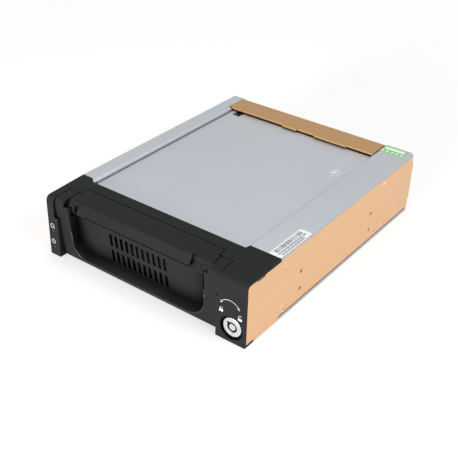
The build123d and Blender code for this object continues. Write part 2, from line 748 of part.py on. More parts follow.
def fan_frame():
    """The square fan frame with its bore, struts and bearing cup."""
    half = FAN / 2
    body = rounded_box(FAN_X - half, FAN_X + half, FAN_Y, REAR_FACE, FAN_Z - half, FAN_Z + half, FAN_CORNER)
    body -= rod_y(FAN_BORE_R, FAN_Y - 1, REAR_FACE + 1, FAN_X, FAN_Z)
    for turn in range(4):
        bar = block(0, FAN_BORE_R + 0.5, REAR_FACE - STRUT, REAR_FACE, -STRUT / 2, STRUT / 2)
        body += Pos(FAN_X, 0, FAN_Z) * Rot(0, 45 + 90 * turn, 0) * bar
    body += rod_y(HUB_R, REAR_FACE - STRUT, REAR_FACE, FAN_X, FAN_Z)
    body += rod_y(CUP_R, REAR_FACE - FAN_DEPTH / 2, REAR_FACE, FAN_X, FAN_Z)
    body -= rod_y(SHAFT_R + RUN, FAN_Y, REAR_FACE - STRUT / 2, FAN_X, FAN_Z)
    tools = [rod_y(SCREW_R, FAN_Y - 1, REAR_FACE + 1, x, z) for x, z in fan_hole_places()]
    return body - tools


def fan_rotor():
    """The fan's hub cup with pitched blades, lofted from root to tip."""
    front = FAN_Y + BLADE_CLEAR
    rear = REAR_FACE - STRUT - BLADE_CLEAR
    hub = rod_y(HUB_R, front, rear, 0, 0)
    hub -= rod_y(HUB_R - HUB_WALL, front + HUB_WALL, rear + 1, 0, 0)
    hub = fillet(hub.edges().filter_by(GeomType.CIRCLE).sort_by(Axis.Y)[0:1], 0.6)
    middle = (front + rear) / 2
    tip_r = FAN_BORE_R - BLADE_CLEAR
    for i in range(BLADES):
        root = Plane(origin=(HUB_R - HUB_WALL / 2, middle, 0), x_dir=(0, 1, 0), z_dir=(1, 0, 0))
        tip = Plane(origin=(tip_r + 1, middle, BLADE_SKEW), x_dir=(0, 1, 0), z_dir=(1, 0, 0))
        with BuildSketch(root) as inner:
            Rectangle(BLADE_ROOT, BLADE_SHEET, rotation=BLADE_ROOT_TURN)
        with BuildSketch(tip) as outer:
            Rectangle(BLADE_TIP, BLADE_SHEET, rotation=BLADE_TIP_TURN)
        blade = loft([inner.sketch, outer.sketch])
        blade &= rod_y(tip_r, front, rear, 0, 0)
        hub += Rot(0, i * 360 / BLADES, 0) * blade
    hub -= rod_y(SHAFT_R, front - 1, rear + 1, 0, 0)
    return Pos(FAN_X, 0, FAN_Z) * hub


def fan_shaft():
    """The rotor's shaft, which runs in the frame's bearing cup."""
    return rod_y(SHAFT_R, FAN_Y + BLADE_CLEAR, REAR_FACE - STRUT, FAN_X, FAN_Z)


def fan_screws():
    """Four screws through the rear panel into the fan."""
    return [rod_y(SCREW_R, REAR_FACE - FAN_SCREW_LENGTH, DEPTH, x, z) for x, z in fan_hole_places()]


def tray_board_window():
    """X and Z limits of the air window in the tray's board."""
    half = FAN_HOLES / 2
    return FAN_X - half, FAN_X + half, PAN_FLOOR + FAN_WINDOW_RISE, FAN_Z + half - FAN_WINDOW_DROP


def tray_board():
    """The tray's rear board with its air window and screw holes."""
    x0, x1 = PAN_LEFT + SHEET + FIT, PAN_RIGHT - SHEET - FIT
    body = block(x0, x1, TRAY_BOARD_Y, PLUG_Y, PAN_FLOOR + TRAY_BOARD_LIFT, PAN_TOP - TRAY_BOARD_DROP)
    wx0, wx1, wz0, wz1 = tray_board_window()
    body -= rounded_box(wx0, wx1, TRAY_BOARD_Y - 1, PLUG_Y + 1, wz0, wz1, 3)
    return body - [rod_y(BOARD_SCREW_R, TRAY_BOARD_Y - 1, PLUG_Y + 1, x, z) for x, z in board_screw_places()]


def board_screw_places():
    """X and Z of the screws that hold the tray's board to the pan's ears."""
    edge = SHEET + BOARD_SCREW_EDGE
    zs = (PAN_FLOOR + BOARD_SCREW_LOW, PAN_TOP - BOARD_SCREW_DROP)
    return [(x, z) for x in (PAN_LEFT + edge, PAN_RIGHT - edge) for z in zs]


def drive_connector():
    """The 22-contact receptacle that meets the drive."""
    x0 = PAN_RIGHT - SHEET - EAR_SHEET - FIT - RECEPTACLE_WIDTH
    x1 = x0 + RECEPTACLE_WIDTH
    z0 = PAN_FLOOR + RECEPTACLE_LIFT
    wall = RECEPTACLE_WALL
    key = x0 + RECEPTACLE_KEY
    low = z0 + (RECEPTACLE_HEIGHT - TONGUE) / 2
    body = block(x0, x1, RECEPTACLE_Y, TRAY_BOARD_Y, z0, z0 + RECEPTACLE_HEIGHT)
    for a, b in ((x0 + wall, key - wall / 2), (key + wall / 2, x1 - wall)):
        body -= block(a, b, RECEPTACLE_Y - 1, TRAY_BOARD_Y - wall, z0 + wall, z0 + RECEPTACLE_HEIGHT - wall)
        tongue = block(a + TONGUE_GAP, b - TONGUE_GAP, RECEPTACLE_Y + FIT, TRAY_BOARD_Y - 1, low, low + TONGUE)
        body += tongue
    return body


def plug_middle():
    """X and Z of the middle of the plug that joins tray and cage."""
    return BAY_RIGHT - BOARD_MARGIN - PLUG_HALF - STANDOFF_MARGIN, PAN_FLOOR + PLUG_LIFT


def tray_plug():
    """The blade plug behind the tray's board."""
    x, z = plug_middle()
    low, high = z - PLUG_FOOT_HALF, z + PLUG_FOOT_HALF
    body = block(x - PLUG_HALF, x + PLUG_HALF, PLUG_Y, PLUG_Y + PLUG_FOOT, low, high)
    blade = block(x - BLADE_HALF, x + BLADE_HALF, PLUG_Y, PLUG_END, z - BLADE / 2, z + BLADE / 2)
    return body + chamfer(blade.edges().filter_by(Axis.X).sort_by(Axis.Y)[-2:], 0.4)


def tray_socket():
    """The socket on the backplane, with a flared mouth for the plug's blade."""
    x, z = plug_middle()
    half = SOCKET_HEIGHT / 2
    body = rounded_box(x - SOCKET_HALF, x + SOCKET_HALF, SOCKET_Y, BACKPLANE_Y, z - half, z + half, 0.8)
    reach = PLUG_END + FIT
    wide = BLADE_HALF + FIT
    high = BLADE / 2 + FIT
    return body - block(x - wide, x + wide, SOCKET_Y - 1, reach, z - high, z + high)


def backplane_board():
    """The cage's rear board."""
    x0, x1 = FAN_X + FAN / 2 + BOARD_MARGIN, BAY_RIGHT - FIT
    body = block(x0, x1, BACKPLANE_Y, REAR_SOCKET_Y, BASE + SHEET, PANEL_TOP - BACKPLANE_DROP)
    return body - [rod_y(SCREW_R, BACKPLANE_Y - 1, REAR_SOCKET_Y + 1, x, z) for x, z in standoff_places()]


def standoff_places():
    """X and Z of the backplane's standoffs."""
    xs = (FAN_X + FAN / 2 + BOARD_MARGIN + STANDOFF_MARGIN, BAY_RIGHT - FIT - STANDOFF_MARGIN)
    return [(x, z) for x in xs for z in (BASE + SHEET + STANDOFF_LOW, PANEL_TOP - BACKPLANE_DROP - STANDOFF_DROP)]


def standoffs():
    """Hexagonal standoffs between the backplane and the rear panel."""
    bars = []
    for x, z in standoff_places():
        outline = Pos(x, REAR_SOCKET_Y, z) * Rot(90, 0, 0) * RegularPolygon(STANDOFF_R, 6)
        bar = extrude(outline, amount=REAR_FACE - REAR_SOCKET_Y, dir=(0, 1, 0))
        bars.append(bar - rod_y(SCREW_R, REAR_SOCKET_Y - 1, REAR_FACE + 1, x, z))
    return bars


def backplane_screws():
    """Pan-head screws through the backplane and the rear panel into the standoffs."""
    screws = []
    for x, z in standoff_places():
        stem = rod_y(SCREW_R, BACKPLANE_Y, REAR_SOCKET_Y + 2, x, z)
        screws.append(stem + rod_y(HEAD_R, BACKPLANE_Y - HEAD, BACKPLANE_Y, x, z))
    return screws


def data_box(gap=0.0):
    """X limits of the data socket."""
    return DATA_LEFT - gap, DATA_LEFT + DATA_WIDTH + gap


def data_height(gap=0.0):
    """Z limits of the data socket."""
    low = BASE + DATA_LIFT
    return low - gap, low + DATA_HEIGHT + gap


def power_box(gap=0.0):
    """X limits of the power socket."""
    return POWER_LEFT - gap, POWER_LEFT + POWER_WIDTH + gap


def power_height(gap=0.0):
    """Z limits of the power socket."""
    low = BASE + POWER_LIFT
    return low - gap, low + POWER_HEIGHT + gap


def data_socket():
    """The seven-contact data socket with its keyed cavity and tongue."""
    x0, x1 = data_box()
    z0, z1 = data_height()
    front, back = REAR_SOCKET_Y, DEPTH - SLIDE
    body = block(x0, x1, front, back, z0, z1)
    wall = DATA_WALL
    low = z0 + 2 * wall
    body -= block(x0 + wall, x1 - wall, front + wall, back + 1, z0 + DATA_LIP, z1 - DATA_LIP)
    body += block(x0 + 2 * wall, x1 - 2 * wall, front, back - DATA_LIP, low, low + TONGUE)
    return body + block(x0 + 2 * wall, x0 + 2 * wall + TONGUE, front, back - DATA_LIP, z0 + wall, low + TONGUE)


def power_pin_places():
    """X and Z of the power socket's four pins."""
    x0, x1 = power_box()
    z0, z1 = power_height()
    return [((x0 + x1) / 2 + (i - 1.5) * POWER_PITCH, (z0 + z1) / 2) for i in range(4)]


def power_socket():
    """The four-pin power socket with two clipped corners."""
    x0, x1 = power_box()
    z0, z1 = power_height()
    front, back = REAR_SOCKET_Y, DEPTH - SLIDE
    body = block(x0, x1, front, back, z0, z1)
    cavity = block(x0 + 1.0, x1 - 1.0, front + 1.4, back + 1, z0 + 1.0, z1 - 1.0)
    body -= chamfer(cavity.edges().filter_by(Axis.Y).sort_by(Axis.Z)[-2:], 1.6)
    return body - [rod_y(POWER_PIN_R, front - 1, front + 2, x, z) for x, z in power_pin_places()]


def power_pins():
    """The four pins of the power socket."""
    front, back = REAR_SOCKET_Y, DEPTH - SLIDE
    return [rod_y(POWER_PIN_R, front, back - 1.2, x, z) for x, z in power_pin_places()]


def lock_clip_y():
    """Front of the clip that holds the lock in the bezel."""
    return FACE_WALL + RUN


def lock_barrel():
    """The lock's barrel: bored for the core, grooved for the clip, notched at the keyway."""
    y0 = LOCK_SUNK
    body = rod_y(LOCK_R, y0, LOCK_LENGTH, LOCK_X, LOCK_Z)
    body = fillet(body.edges().filter_by(GeomType.CIRCLE).sort_by(Axis.Y)[0:1], 0.5)
    body -= rod_y(CORE_R + RUN, y0 - 1, LOCK_LENGTH + 1, LOCK_X, LOCK_Z)
    groove = rod_y(LOCK_R + 1, lock_clip_y(), lock_clip_y() + CLIP + RUN, LOCK_X, LOCK_Z)
    groove -= rod_y(LOCK_R - CLIP_GROOVE, 0, LOCK_LENGTH, LOCK_X, LOCK_Z)
    notch = block(-NOTCH / 2, NOTCH / 2, y0 - 1, KEYWAY_DEPTH, 0, NOTCH_REACH)
    return body - groove - Pos(LOCK_X, 0, LOCK_Z) * Rot(0, -KEYWAY_TURN, 0) * notch


def lock_core():
    """The turning core with the round key post in front and the tail behind."""
    y0 = LOCK_SUNK
    body = rod_y(POST_R, y0 + POST_SUNK, KEYWAY_DEPTH + 1, LOCK_X, LOCK_Z)
    body += rod_y(CORE_R, KEYWAY_DEPTH, LOCK_LENGTH + SLIDE, LOCK_X, LOCK_Z)
    body += rod_y(TAIL_R, LOCK_LENGTH, BEZEL_DEPTH - 2, LOCK_X, LOCK_Z)
    half = POST_NOTCH / 2
    notch = block(-half, half, 0, KEYWAY_DEPTH / 2, POST_R - POST_NOTCH, POST_R + 1)
    return body - Pos(LOCK_X, 0, LOCK_Z) * Rot(0, POST_NOTCH_TURN, 0) * notch


def lock_cam():
    """The flat cam on the core's tail, with a rounded tip that points at the tray."""
    y0 = LOCK_LENGTH + SLIDE
    y1 = y0 + CAM
    half = CAM_HALF
    tip_x = LOCK_X - CAM_REACH + half
    hub = rod_y(CORE_R, y0, y1, LOCK_X, LOCK_Z)
    arm = block(tip_x, LOCK_X, y0, y1, LOCK_Z - half, LOCK_Z + half)
    tip = rod_y(half, y0, y1, tip_x, LOCK_Z)
    return hub + arm + tip - rod_y(TAIL_R, y0 - 1, y1 + 1, LOCK_X, LOCK_Z)


def cam_collar():
    """The collar pressed on the tail behind the cam."""
    y0 = LOCK_LENGTH + SLIDE + CAM
    ring = rod_y(COLLAR_RING_R, y0, y0 + COLLAR_RING, LOCK_X, LOCK_Z)
    return ring - rod_y(TAIL_R, y0 - 1, y0 + COLLAR_RING + 1, LOCK_X, LOCK_Z)


def lock_clip():
    """The U-shaped spring clip behind the bezel wall."""
    y0 = lock_clip_y() + RUN / 2
    y1 = y0 + CLIP
    seat = LOCK_R - CLIP_GROOVE + RUN
    low, high = LOCK_Z - CLIP_HALF, LOCK_Z + CLIP_HALF
    plate = rounded_box(LOCK_X - CLIP_LEFT, LOCK_X + CLIP_RIGHT, y0, y1, low, high, 1.5)
    plate -= rod_y(seat, y0 - 1, y1 + 1, LOCK_X, LOCK_Z)
    return plate - block(LOCK_X, LOCK_X + CLIP_RIGHT + 1, y0 - 1, y1 + 1, LOCK_Z - seat, LOCK_Z + seat)


def key_switch():
    """The rotary switch that the core's tail turns, with three solder pins."""
    y0 = LOCK_LENGTH + SLIDE + CAM + COLLAR_RING + 2 * FIT
    y1 = BEZEL_DEPTH - FIT
    high = LOCK_Z + SWITCH_HALF
    body = block(LOCK_X - SWITCH_HALF, LOCK_X + SWITCH_HALF - FIT, y0, y1, BASE, high)
    body = fillet(body.edges().filter_by(Axis.Y).sort_by(Axis.Z)[-2:], 1.2)
    body -= rod_y(TAIL_R + RUN, y0 - 1, y1 - 1, LOCK_X, LOCK_Z)
    half = PIN_SIDE / 2
    for i in range(-1, 2):
        x = LOCK_X + i * PIN_PITCH
        body += block(x - half, x + half, y1 - 1, y1 + 4 * PIN_SIDE, BASE + 4 * PIN_SIDE, BASE + 6 * PIN_SIDE)
    return body


def light_pipes():
    """Two clear light guides from the lamps to the bezel's face."""
    return [rod_y(LAMP_R, LAMP_SUNK, THROAT, LAMP_X, z) for z in (LAMP_LOW, LAMP_HIGH)]


def lamps():
    """The two lamps on the lamp board."""
    return [rod_y(LAMP_R, THROAT + RUN, THROAT + LAMP_LENGTH, LAMP_X, z) for z in (LAMP_LOW, LAMP_HIGH)]


def lamp_board():
    """The small upright board behind the lamps."""
    y0 = THROAT + LAMP_LENGTH
    return block(SIDE_FACE + 1, BAY_LEFT - BEZEL_WALL - RUN, y0, y0 + BOARD, BASE, LAMP_HIGH + 6)


def glide(side_x0):
    """A glide strip on the base that the tray's runner slides on."""
    body = block(side_x0, side_x0 + GLIDE_WIDTH, BEZEL_DEPTH + 1, TRAY_BOARD_Y - 8, BASE, GLIDE_TOP)
    return chamfer(body.edges().filter_by(Axis.X).sort_by(Axis.Z)[-2:], 0.5)


def runner(outer_x, inner_sign):
    """The L-shaped runner along one side of the pan."""
    front = PIVOT_Y + ARM_LENGTH + 8
    end = TRAY_BOARD_Y - 6
    wall_x = outer_x + inner_sign * RUNNER
    foot_x = outer_x + inner_sign * GLIDE_WIDTH
    side = block(*sorted((outer_x, wall_x)), front, end, RUNNER_FOOT, RUNNER_FOOT + RUNNER_HEIGHT)
    foot = block(*sorted((outer_x, foot_x)), front, end, RUNNER_FOOT, PAN_UNDER)
    body = side + foot
    return chamfer(body.edges().filter_by(Axis.Z).sort_by(Axis.Y)[0:2], 0.6)


def tray_pan():
    """The tray's floor and side walls, with vents, drive holes, windows and rear ears."""
    rear = PLUG_Y + PAN_TAIL
    body = block(PAN_LEFT, PAN_RIGHT, PAN_FRONT, rear, PAN_UNDER, PAN_TOP)
    body -= block(PAN_LEFT + SHEET, PAN_RIGHT - SHEET, PAN_FRONT - 1, rear + 1, PAN_FLOOR, PAN_TOP + 1)
    body -= pan_vents() + pan_windows()
    swing_end = PIVOT_Y + END_REACH + SWING
    body -= block(PAN_LEFT - 1, PAN_RIGHT + 1, PAN_FRONT - 1, swing_end, PIVOT_Z - END_REACH - SWING, PAN_TOP + 1)
    for x, y in drive_screw_places():
        body -= rod_z(SCREW_R + FIT, PAN_UNDER - 1, PAN_FLOOR + 1, x, y)
    for x0 in (PAN_LEFT + SHEET, PAN_RIGHT - SHEET - EAR_SHEET):
        top = PAN_TOP - TRAY_BOARD_DROP
        body += block(x0, x0 + EAR_SHEET, TRAY_BOARD_Y - SHEET, TRAY_BOARD_Y, PAN_UNDER, top)
    holes = [rod_y(BOARD_SCREW_R, TRAY_BOARD_Y - 3, TRAY_BOARD_Y + 1, x, z) for x, z in board_screw_places()]
    return body - holes - tray_screw_holes()


def pan_vents():
    """Two rows of slots in the pan's floor."""
    slots = []
    for row in range(2):
        y = DRIVE_FRONT + PAN_VENT_FIRST + row * PAN_VENT_STEP
        for i in range(PAN_VENTS):
            x = (PAN_LEFT + PAN_RIGHT) / 2 + (i - (PAN_VENTS - 1) / 2) * PAN_VENT_PITCH
            outline = Rot(0, 0, 90) * SlotOverall(PAN_VENT_LENGTH, PAN_VENT)
            slots.append(extrude(Pos(x, y, PAN_UNDER - 1) * outline, amount=SHEET + 2))
    return slots


def pan_windows():
    """Windows near the top of the pan's walls."""
    top = PAN_TOP - WINDOW_DROP + WINDOW_HEIGHT
    low = PAN_TOP - WINDOW_DROP
    starts = [DRIVE_FRONT + WINDOW_FIRST + i * WINDOW_STEP for i in range(WINDOWS)]
    return [block(PAN_LEFT - 1, PAN_RIGHT + 1, y, y + WINDOW_LENGTH, low, top) for y in starts]


def tray_screw_heights():
    """Heights of the two screws in each arm of the tray's front."""
    return (PAN_UNDER + ARM_SCREW_LOW, PAN_TOP - ARM_SCREW_DROP)


def tray_screw_holes():
    """Bars that bore the arms and the pan for the tray screws."""
    y = PIVOT_Y + ARM_LENGTH - ARM_SCREW_BACK
    holes = []
    for z in tray_screw_heights():
        holes.append(rod_x(SCREW_R, RUNNER_LEFT - 1, PAN_LEFT + SHEET + 1, y, z))
        holes.append(rod_x(SCREW_R, PAN_RIGHT - SHEET - 1, RUNNER_RIGHT + 1, y, z))
    return holes


def drive_screw_places():
    """X and Y of the four holes under the drive."""
    middle = (PAN_LEFT + PAN_RIGHT) / 2
    ys = (DRIVE_REAR - DRIVE_HOLE_REAR, DRIVE_REAR - DRIVE_HOLE_REAR - DRIVE_HOLES_Y)
    return [(middle + side * DRIVE_HOLES_X / 2, y) for side in (-1, 1) for y in ys]


def tray_cover():
    """The sliding cover: a flat sheet with turned-down lips and a rear notch."""
    x0, x1 = PAN_LEFT - COVER_OVERHANG, PAN_RIGHT + COVER_OVERHANG
    body = block(x0, x1, COVER_FRONT, COVER_REAR, COVER_UNDER, COVER_TOP)
    inner_left = PAN_LEFT + SHEET + SLIDE
    inner_right = PAN_RIGHT - SHEET - SLIDE - COVER_LIP_SHEET
    lip_end = COVER_REAR - SPRING_LENGTH - COVER_TRAVEL - FIT
    for x in (inner_left, inner_right):
        body += block(x, x + COVER_LIP_SHEET, BRIDGE_BACK + 2, lip_end, COVER_TOP - COVER_LIP, COVER_UNDER)
    notch_x = x0 + COVER_NOTCH_X
    notch_y = COVER_REAR - COVER_NOTCH_DEPTH
    return body - block(notch_x, notch_x + COVER_NOTCH, notch_y, COVER_REAR + 1, COVER_UNDER - 1, COVER_TOP + 1)


def ground_spring():
    """The bowed contact strip that shows through the cover's notch."""
    x0 = PAN_LEFT + SHEET
    y0 = COVER_REAR - SPRING_LENGTH
    low = PAN_TOP - SPRING_DROP
    points = [(y0, low), (y0 + SPRING_LENGTH / 2, low + SPRING_RISE), (y0 + SPRING_LENGTH, low)]
    arc = ThreePointArc(*[(0, y, z) for y, z in points])
    lower = ThreePointArc(*[(0, y, z - SPRING_SHEET) for y, z in points])
    face = make_face([arc, lower, Line(arc @ 0, lower @ 0), Line(arc @ 1, lower @ 1)])
    return Pos(x0, 0, 0) * extrude(face, amount=SPRING_WIDTH, dir=(1, 0, 0))


def tray_face_slab():
    """The tray front's slab, wider above the step, with the sloped face and rounded top."""
    back = EAR_BACK - EAR_GAP
    sill = SILL_FRONT - FIT
    outline = [
        (FACE_FOOT_Y, FOOT),
        (sill, FOOT),
        (sill, SHELF_UNDER),
        (back, SHELF_UNDER),
        (back, surface_z(back)),
        (FACE_TOP_Y, surface_z(FACE_TOP_Y)),
        (FACE_TOP_Y, PIVOT_Z),
    ]
    body = capped_profile(outline, back, EAR_LEFT + EAR_GAP, EAR_RIGHT - EAR_GAP)
    for x0, x1 in ((EAR_LEFT, OPEN_LEFT + FIT), (OPEN_RIGHT - FIT, EAR_RIGHT)):
        body -= block(x0, x1, -1, EAR_BACK, -1, STEP_HEIGHT + FIT)
    return body


def recess_section(y):
    """The finger recess's outline in the upright plane at a distance behind the front."""
    left = RECESS_LEFT + RECESS_SIDE_DRAFT * y
    right = RECESS_RIGHT - RECESS_SIDE_DRAFT * y
    floor = RECESS_FOOT + RECESS_FLOOR_RISE * y
    top = PIVOT_Z + END_REACH
    plane = Plane(origin=(0, y, 0), x_dir=(1, 0, 0), z_dir=(0, -1, 0))
    with BuildSketch(plane) as outline:
        with Locations(((left + right) / 2, (floor + top) / 2)):
            Rectangle(right - left, top - floor)
        low = outline.vertices().sort_by(Axis.Y)[0:2].sort_by(Axis.X)
        fillet(low[0], RECESS_ROUND_LEFT - RECESS_ROUND_FALL * y)
        low = outline.vertices().sort_by(Axis.Y)[0:2].sort_by(Axis.X)
        fillet(low[-1], RECESS_ROUND_RIGHT - RECESS_ROUND_FALL * y)
    return outline.sketch


def recess_cut():
    """The finger recess: a pocket lofted from the face inwards, down to the leaning wall."""
    pocket = loft([recess_section(-1), recess_section(BEZEL_DEPTH / 2)], ruled=True)
    low, high = -5, HEIGHT + 20
    behind = [(wall_y(low), low), (BEZEL_DEPTH, low), (BEZEL_DEPTH, high), (wall_y(high), high)]
    return pocket - side_prism(behind, 0, WIDTH)


def tray_front():
    """The black tray front: ears, recess, grille wall, lower lip, swing pocket, shelf and side arms."""
    left, right = HANDLE_LEFT - HANDLE_GAP, HANDLE_RIGHT + HANDLE_GAP
    body = tray_face_slab() - recess_cut() - swing_pocket(left, right) - grille() - wall_slit()
    body += arms()
    body += block(PAN_LEFT + 3, PAN_RIGHT - 3, EAR_BACK - 2, PAN_FRONT + SHELF, SHELF_UNDER, PAN_UNDER)
    for x0, x1 in pin_spans():
        body -= rod_x(PIN_R, x0, x1, PIVOT_Y, PIVOT_Z)
    return body - tray_screw_holes()


def swing_pocket(left, right):
    """Room behind the recess wall and over it for the handle's swing, behind the two end columns."""
    low, high = POCKET_FLOOR, HEIGHT + 5
    back = EAR_BACK + 1
    outline = [(wall_y(low) + WALL, low), (back, low), (back, high), (wall_y(high) + WALL, high)]
    return [
        side_prism(outline, left, right),
        block(left, right, COLUMN_BACK, back, WALL_TOP, high),
        block(left, right, -2, back, COLUMN_TOP, high),
    ]


def grille():
    """Two rows of upright slots through the recess wall."""
    y0, y1 = WALL_TOP_Y - 1, EAR_BACK + 1
    slots = []
    for z in (SLOT_LOW + SLOT_HEIGHT / 2, SLOT_HIGH + SLOT_HEIGHT / 2):
        for i in range(SLOT_COUNT):
            x = RECESS_LEFT + SLOT_MARGIN + i * SLOT_PITCH
            slots.append(front_slot(SLOT_WIDTH, SLOT_HEIGHT, x, z, y0, y1))
    return slots


def wall_slit():
    """The slit beside the recess's right side, ending in a round hole."""
    x = RECESS_RIGHT
    slit = block(x - SLIT / 2, x + SLIT / 2, -1, WALL_FOOT_Y, SLIT_FOOT, COLUMN_TOP + 1)
    return [slit, rod_y(SLIT, -1, WALL_FOOT_Y, x, SLIT_FOOT)]


def arms():
    """The two side arms that take the pan."""
    end = PIVOT_Y + ARM_LENGTH
    top = PAN_TOP - ARM_DROP
    return [
        block(RUNNER_LEFT, PAN_LEFT, EAR_BACK - 1, end, PAN_UNDER, top),
        block(PAN_RIGHT, RUNNER_RIGHT, EAR_BACK - 1, end, PAN_UNDER, top),
    ]


def pin_spans():
    """X limits of the two handle pins."""
    reach = HANDLE_GAP + PIN_DEPTH
    return (
        (HANDLE_LEFT - reach, HANDLE_LEFT + KNUCKLE_WIDTH),
        (HANDLE_RIGHT - KNUCKLE_WIDTH, HANDLE_RIGHT + reach),
    )


def handle_pins():
    """The two pins that the handle turns on."""
    return [rod_x(PIN_R, x0, x1, PIVOT_Y, PIVOT_Z) for x0, x1 in pin_spans()]


def handle():
    """The handle: a flush top plate with rounded set-back ends, knuckles and the proud grip band."""
    far = PIVOT_Y + REAR_REACH + 5
    inner = END_FRONT_Y + BAND
    under = surface_z(inner) - PLATE
    outline = [
        (END_FRONT_Y, END_FOOT),
        (inner, END_FOOT),
        (inner, under),
        (far, surface_z(far) - PLATE),
        (far, surface_z(far)),
        (END_FRONT_Y, surface_z(END_FRONT_Y)),
    ]
    plate = fillet(front_top_edge(side_prism(outline, HANDLE_LEFT, HANDLE_RIGHT)), END_ROUND)
    x0, x1 = HANDLE_LEFT + BAND_LEFT, HANDLE_RIGHT - BAND_RIGHT
    plate -= block(x0 + BAND, x1 - BAND, 0, inner + 1, END_FOOT - 1, under)
    centre = rod_x(REAR_REACH, HANDLE_LEFT + END_WIDTH, HANDLE_RIGHT - END_WIDTH, PIVOT_Y, PIVOT_Z)
    ends = rod_x(END_REACH, HANDLE_LEFT, HANDLE_RIGHT, PIVOT_Y, PIVOT_Z)
    body = plate & (centre + ends)
    body += grip_band(x0, x1)
    for x in (HANDLE_LEFT, HANDLE_RIGHT - KNUCKLE_WIDTH):
        body += rod_x(KNUCKLE_R, x, x + KNUCKLE_WIDTH, PIVOT_Y, PIVOT_Z)
        body -= rod_x(PIN_R + RUN, x - 1, x + KNUCKLE_WIDTH + 1, PIVOT_Y, PIVOT_Z)
    return body


def grip_band(x0, x1):
    """The handle's proud grip band, leaning forward to its foot, with a rounded upper left corner."""
    rear = END_FRONT_Y + END_ROUND + FIT
    inner = BAND_TOP_Y + BAND
    outline = [
        (BAND_FOOT_Y, PIVOT_Z),
        (BAND_FOOT_Y + BAND, PIVOT_Z),
        (inner, surface_z(inner) - PLATE),
        (rear, surface_z(rear) - PLATE),
        (rear, surface_z(rear)),
        (BAND_TOP_Y, surface_z(BAND_TOP_Y)),
    ]
    band = fillet(front_top_edge(side_prism(outline, x0, x1)), BAND_EDGE)
    x, z = x0 + BAND_CORNER, surface_z(BAND_TOP_Y) - BAND_CORNER
    corner = block(x0 - 1, x, -1, rear + 1, z, HEIGHT + 1)
    return band - (corner - rod_y(BAND_CORNER, -2, rear + 2, x, z))


def tray_screws():
    """Screws through the front's arms into the pan."""
    y = PIVOT_Y + ARM_LENGTH - ARM_SCREW_BACK
    screws = []
    for z in tray_screw_heights():
        screws.append(rod_x(SCREW_R, RUNNER_LEFT + RUN, PAN_LEFT + SHEET + ARM_SCREW_POINT, y, z))
        screws.append(rod_x(SCREW_R, PAN_RIGHT - SHEET - ARM_SCREW_POINT, RUNNER_RIGHT - RUN, y, z))
    return screws


def side_screws():
    """Countersunk screws through the side panels into the bezel's tabs."""
    y = BEZEL_DEPTH + TAB_LENGTH / 2
    screws = []
    for z in screw_heights():
        left = rod_x(HEAD_R - RUN, RUN, SHEET, y, z) + rod_x(SCREW_R, SHEET, SIDE_FACE + TAB_WIDTH, y, z)
        screws.append(left)
        screws.append(mirrored(left))
    return screws


def side_rivets():
    """Flush rivets in the side panels."""
    rivets = []
    for y, z in rivet_places():
        left = rod_x(RIVET_R - RUN, RUN, SHEET, y, z) + rod_x(SCREW_R, SHEET, 2 * SHEET, y, z)
        rivets.append(left)
        rivets.append(mirrored(left))
    return rivets


def base_screws():
    """Screws through the base into the channels' feet."""
    return [rod_z(SCREW_R, RUN, BASE + STRIP + 1, x, y) for x, y in base_screw_places()]


def board_screws():
    """Screws that hold the tray's board."""
    screws = []
    for x, z in board_screw_places():
        stem = rod_y(BOARD_SCREW_R, TRAY_BOARD_Y - SHEET - 1, PLUG_Y, x, z)
        screws.append(stem + rod_y(BOARD_HEAD_R, PLUG_Y, PLUG_Y + BOARD_HEAD, x, z))
    return screws


def group(pieces):
    """Several solids in one node."""
    return Compound(children=[p for piece in pieces for p in piece.solids()])


def main():
    os.makedirs("parts", exist_ok=True)
    save("front_bezel", front_bezel())
    save("base_plate", base_plate())
    save("left_side_panel", side_panel())
    save("right_side_panel", mirrored(side_panel()))
    save("left_channel", left_channel())
    save("right_channel", right_channel())
    save("rear_panel", rear_panel())
    save("left_glide", glide(BAY_LEFT + FIT))
    save("right_glide", glide(BAY_RIGHT - FIT - GLIDE_WIDTH))
    save("light_pipes", group(light_pipes()))
    save("status_lamps", group(lamps()))
    save("lamp_board", lamp_board())
    save("lock_barrel", lock_barrel())
    save("lock_clip", lock_clip())
    save("lock_core", lock_core())
    save("lock_cam", lock_cam())
    save("cam_collar", cam_collar())
    save("key_switch", key_switch())
    save("backplane_board", backplane_board())
    save("tray_socket", tray_socket())
    save("standoffs", group(standoffs()))
    save("backplane_screws", group(backplane_screws()))
    save("data_socket", data_socket())
    save("power_socket", power_socket())
    save("power_pins", group(power_pins()))
    save("fan_frame", fan_frame())
    save("fan_rotor", fan_rotor())
    save("fan_shaft", fan_shaft())
    save("fan_screws", group(fan_screws()))
    save("side_screws", group(side_screws()))
    save("side_rivets", group(side_rivets()))
    save("base_screws", group(base_screws()))
    save("tray_front", tray_front())
    save("tray_pan", tray_pan())
    save("tray_cover", tray_cover())
    save("left_runner", runner(RUNNER_LEFT, 1))
    save("right_runner", runner(RUNNER_RIGHT, -1))
    save("ground_spring", ground_spring())
    save("tray_board", tray_board())
    save("drive_connector", drive_connector())
    save("tray_plug", tray_plug())
    save("board_screws", group(board_screws()))
    save("tray_screws", group(tray_screws()))
    save("handle_pins", group(handle_pins()))
    save("handle", handle())
    print("outer size", round(WIDTH, 2), round(DEPTH, 2), round(HEIGHT, 2))


main()
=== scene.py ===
"""Looks of a hot swap drive cage: finishes, fasteners, marks and labels round its fixed frame."""

from __future__ import annotations

import logging
import math
import random
from dataclasses import dataclass, field
from enum import Enum
from typing import ClassVar, Iterable, NamedTuple, Sequence, Union

import bmesh
import bpy
from bmesh.types import BMEdge, BMVert, BMesh
from bpy.types import Material, Node, NodeSocket, NodeTree, Object
from mathutils import Matrix, Vector

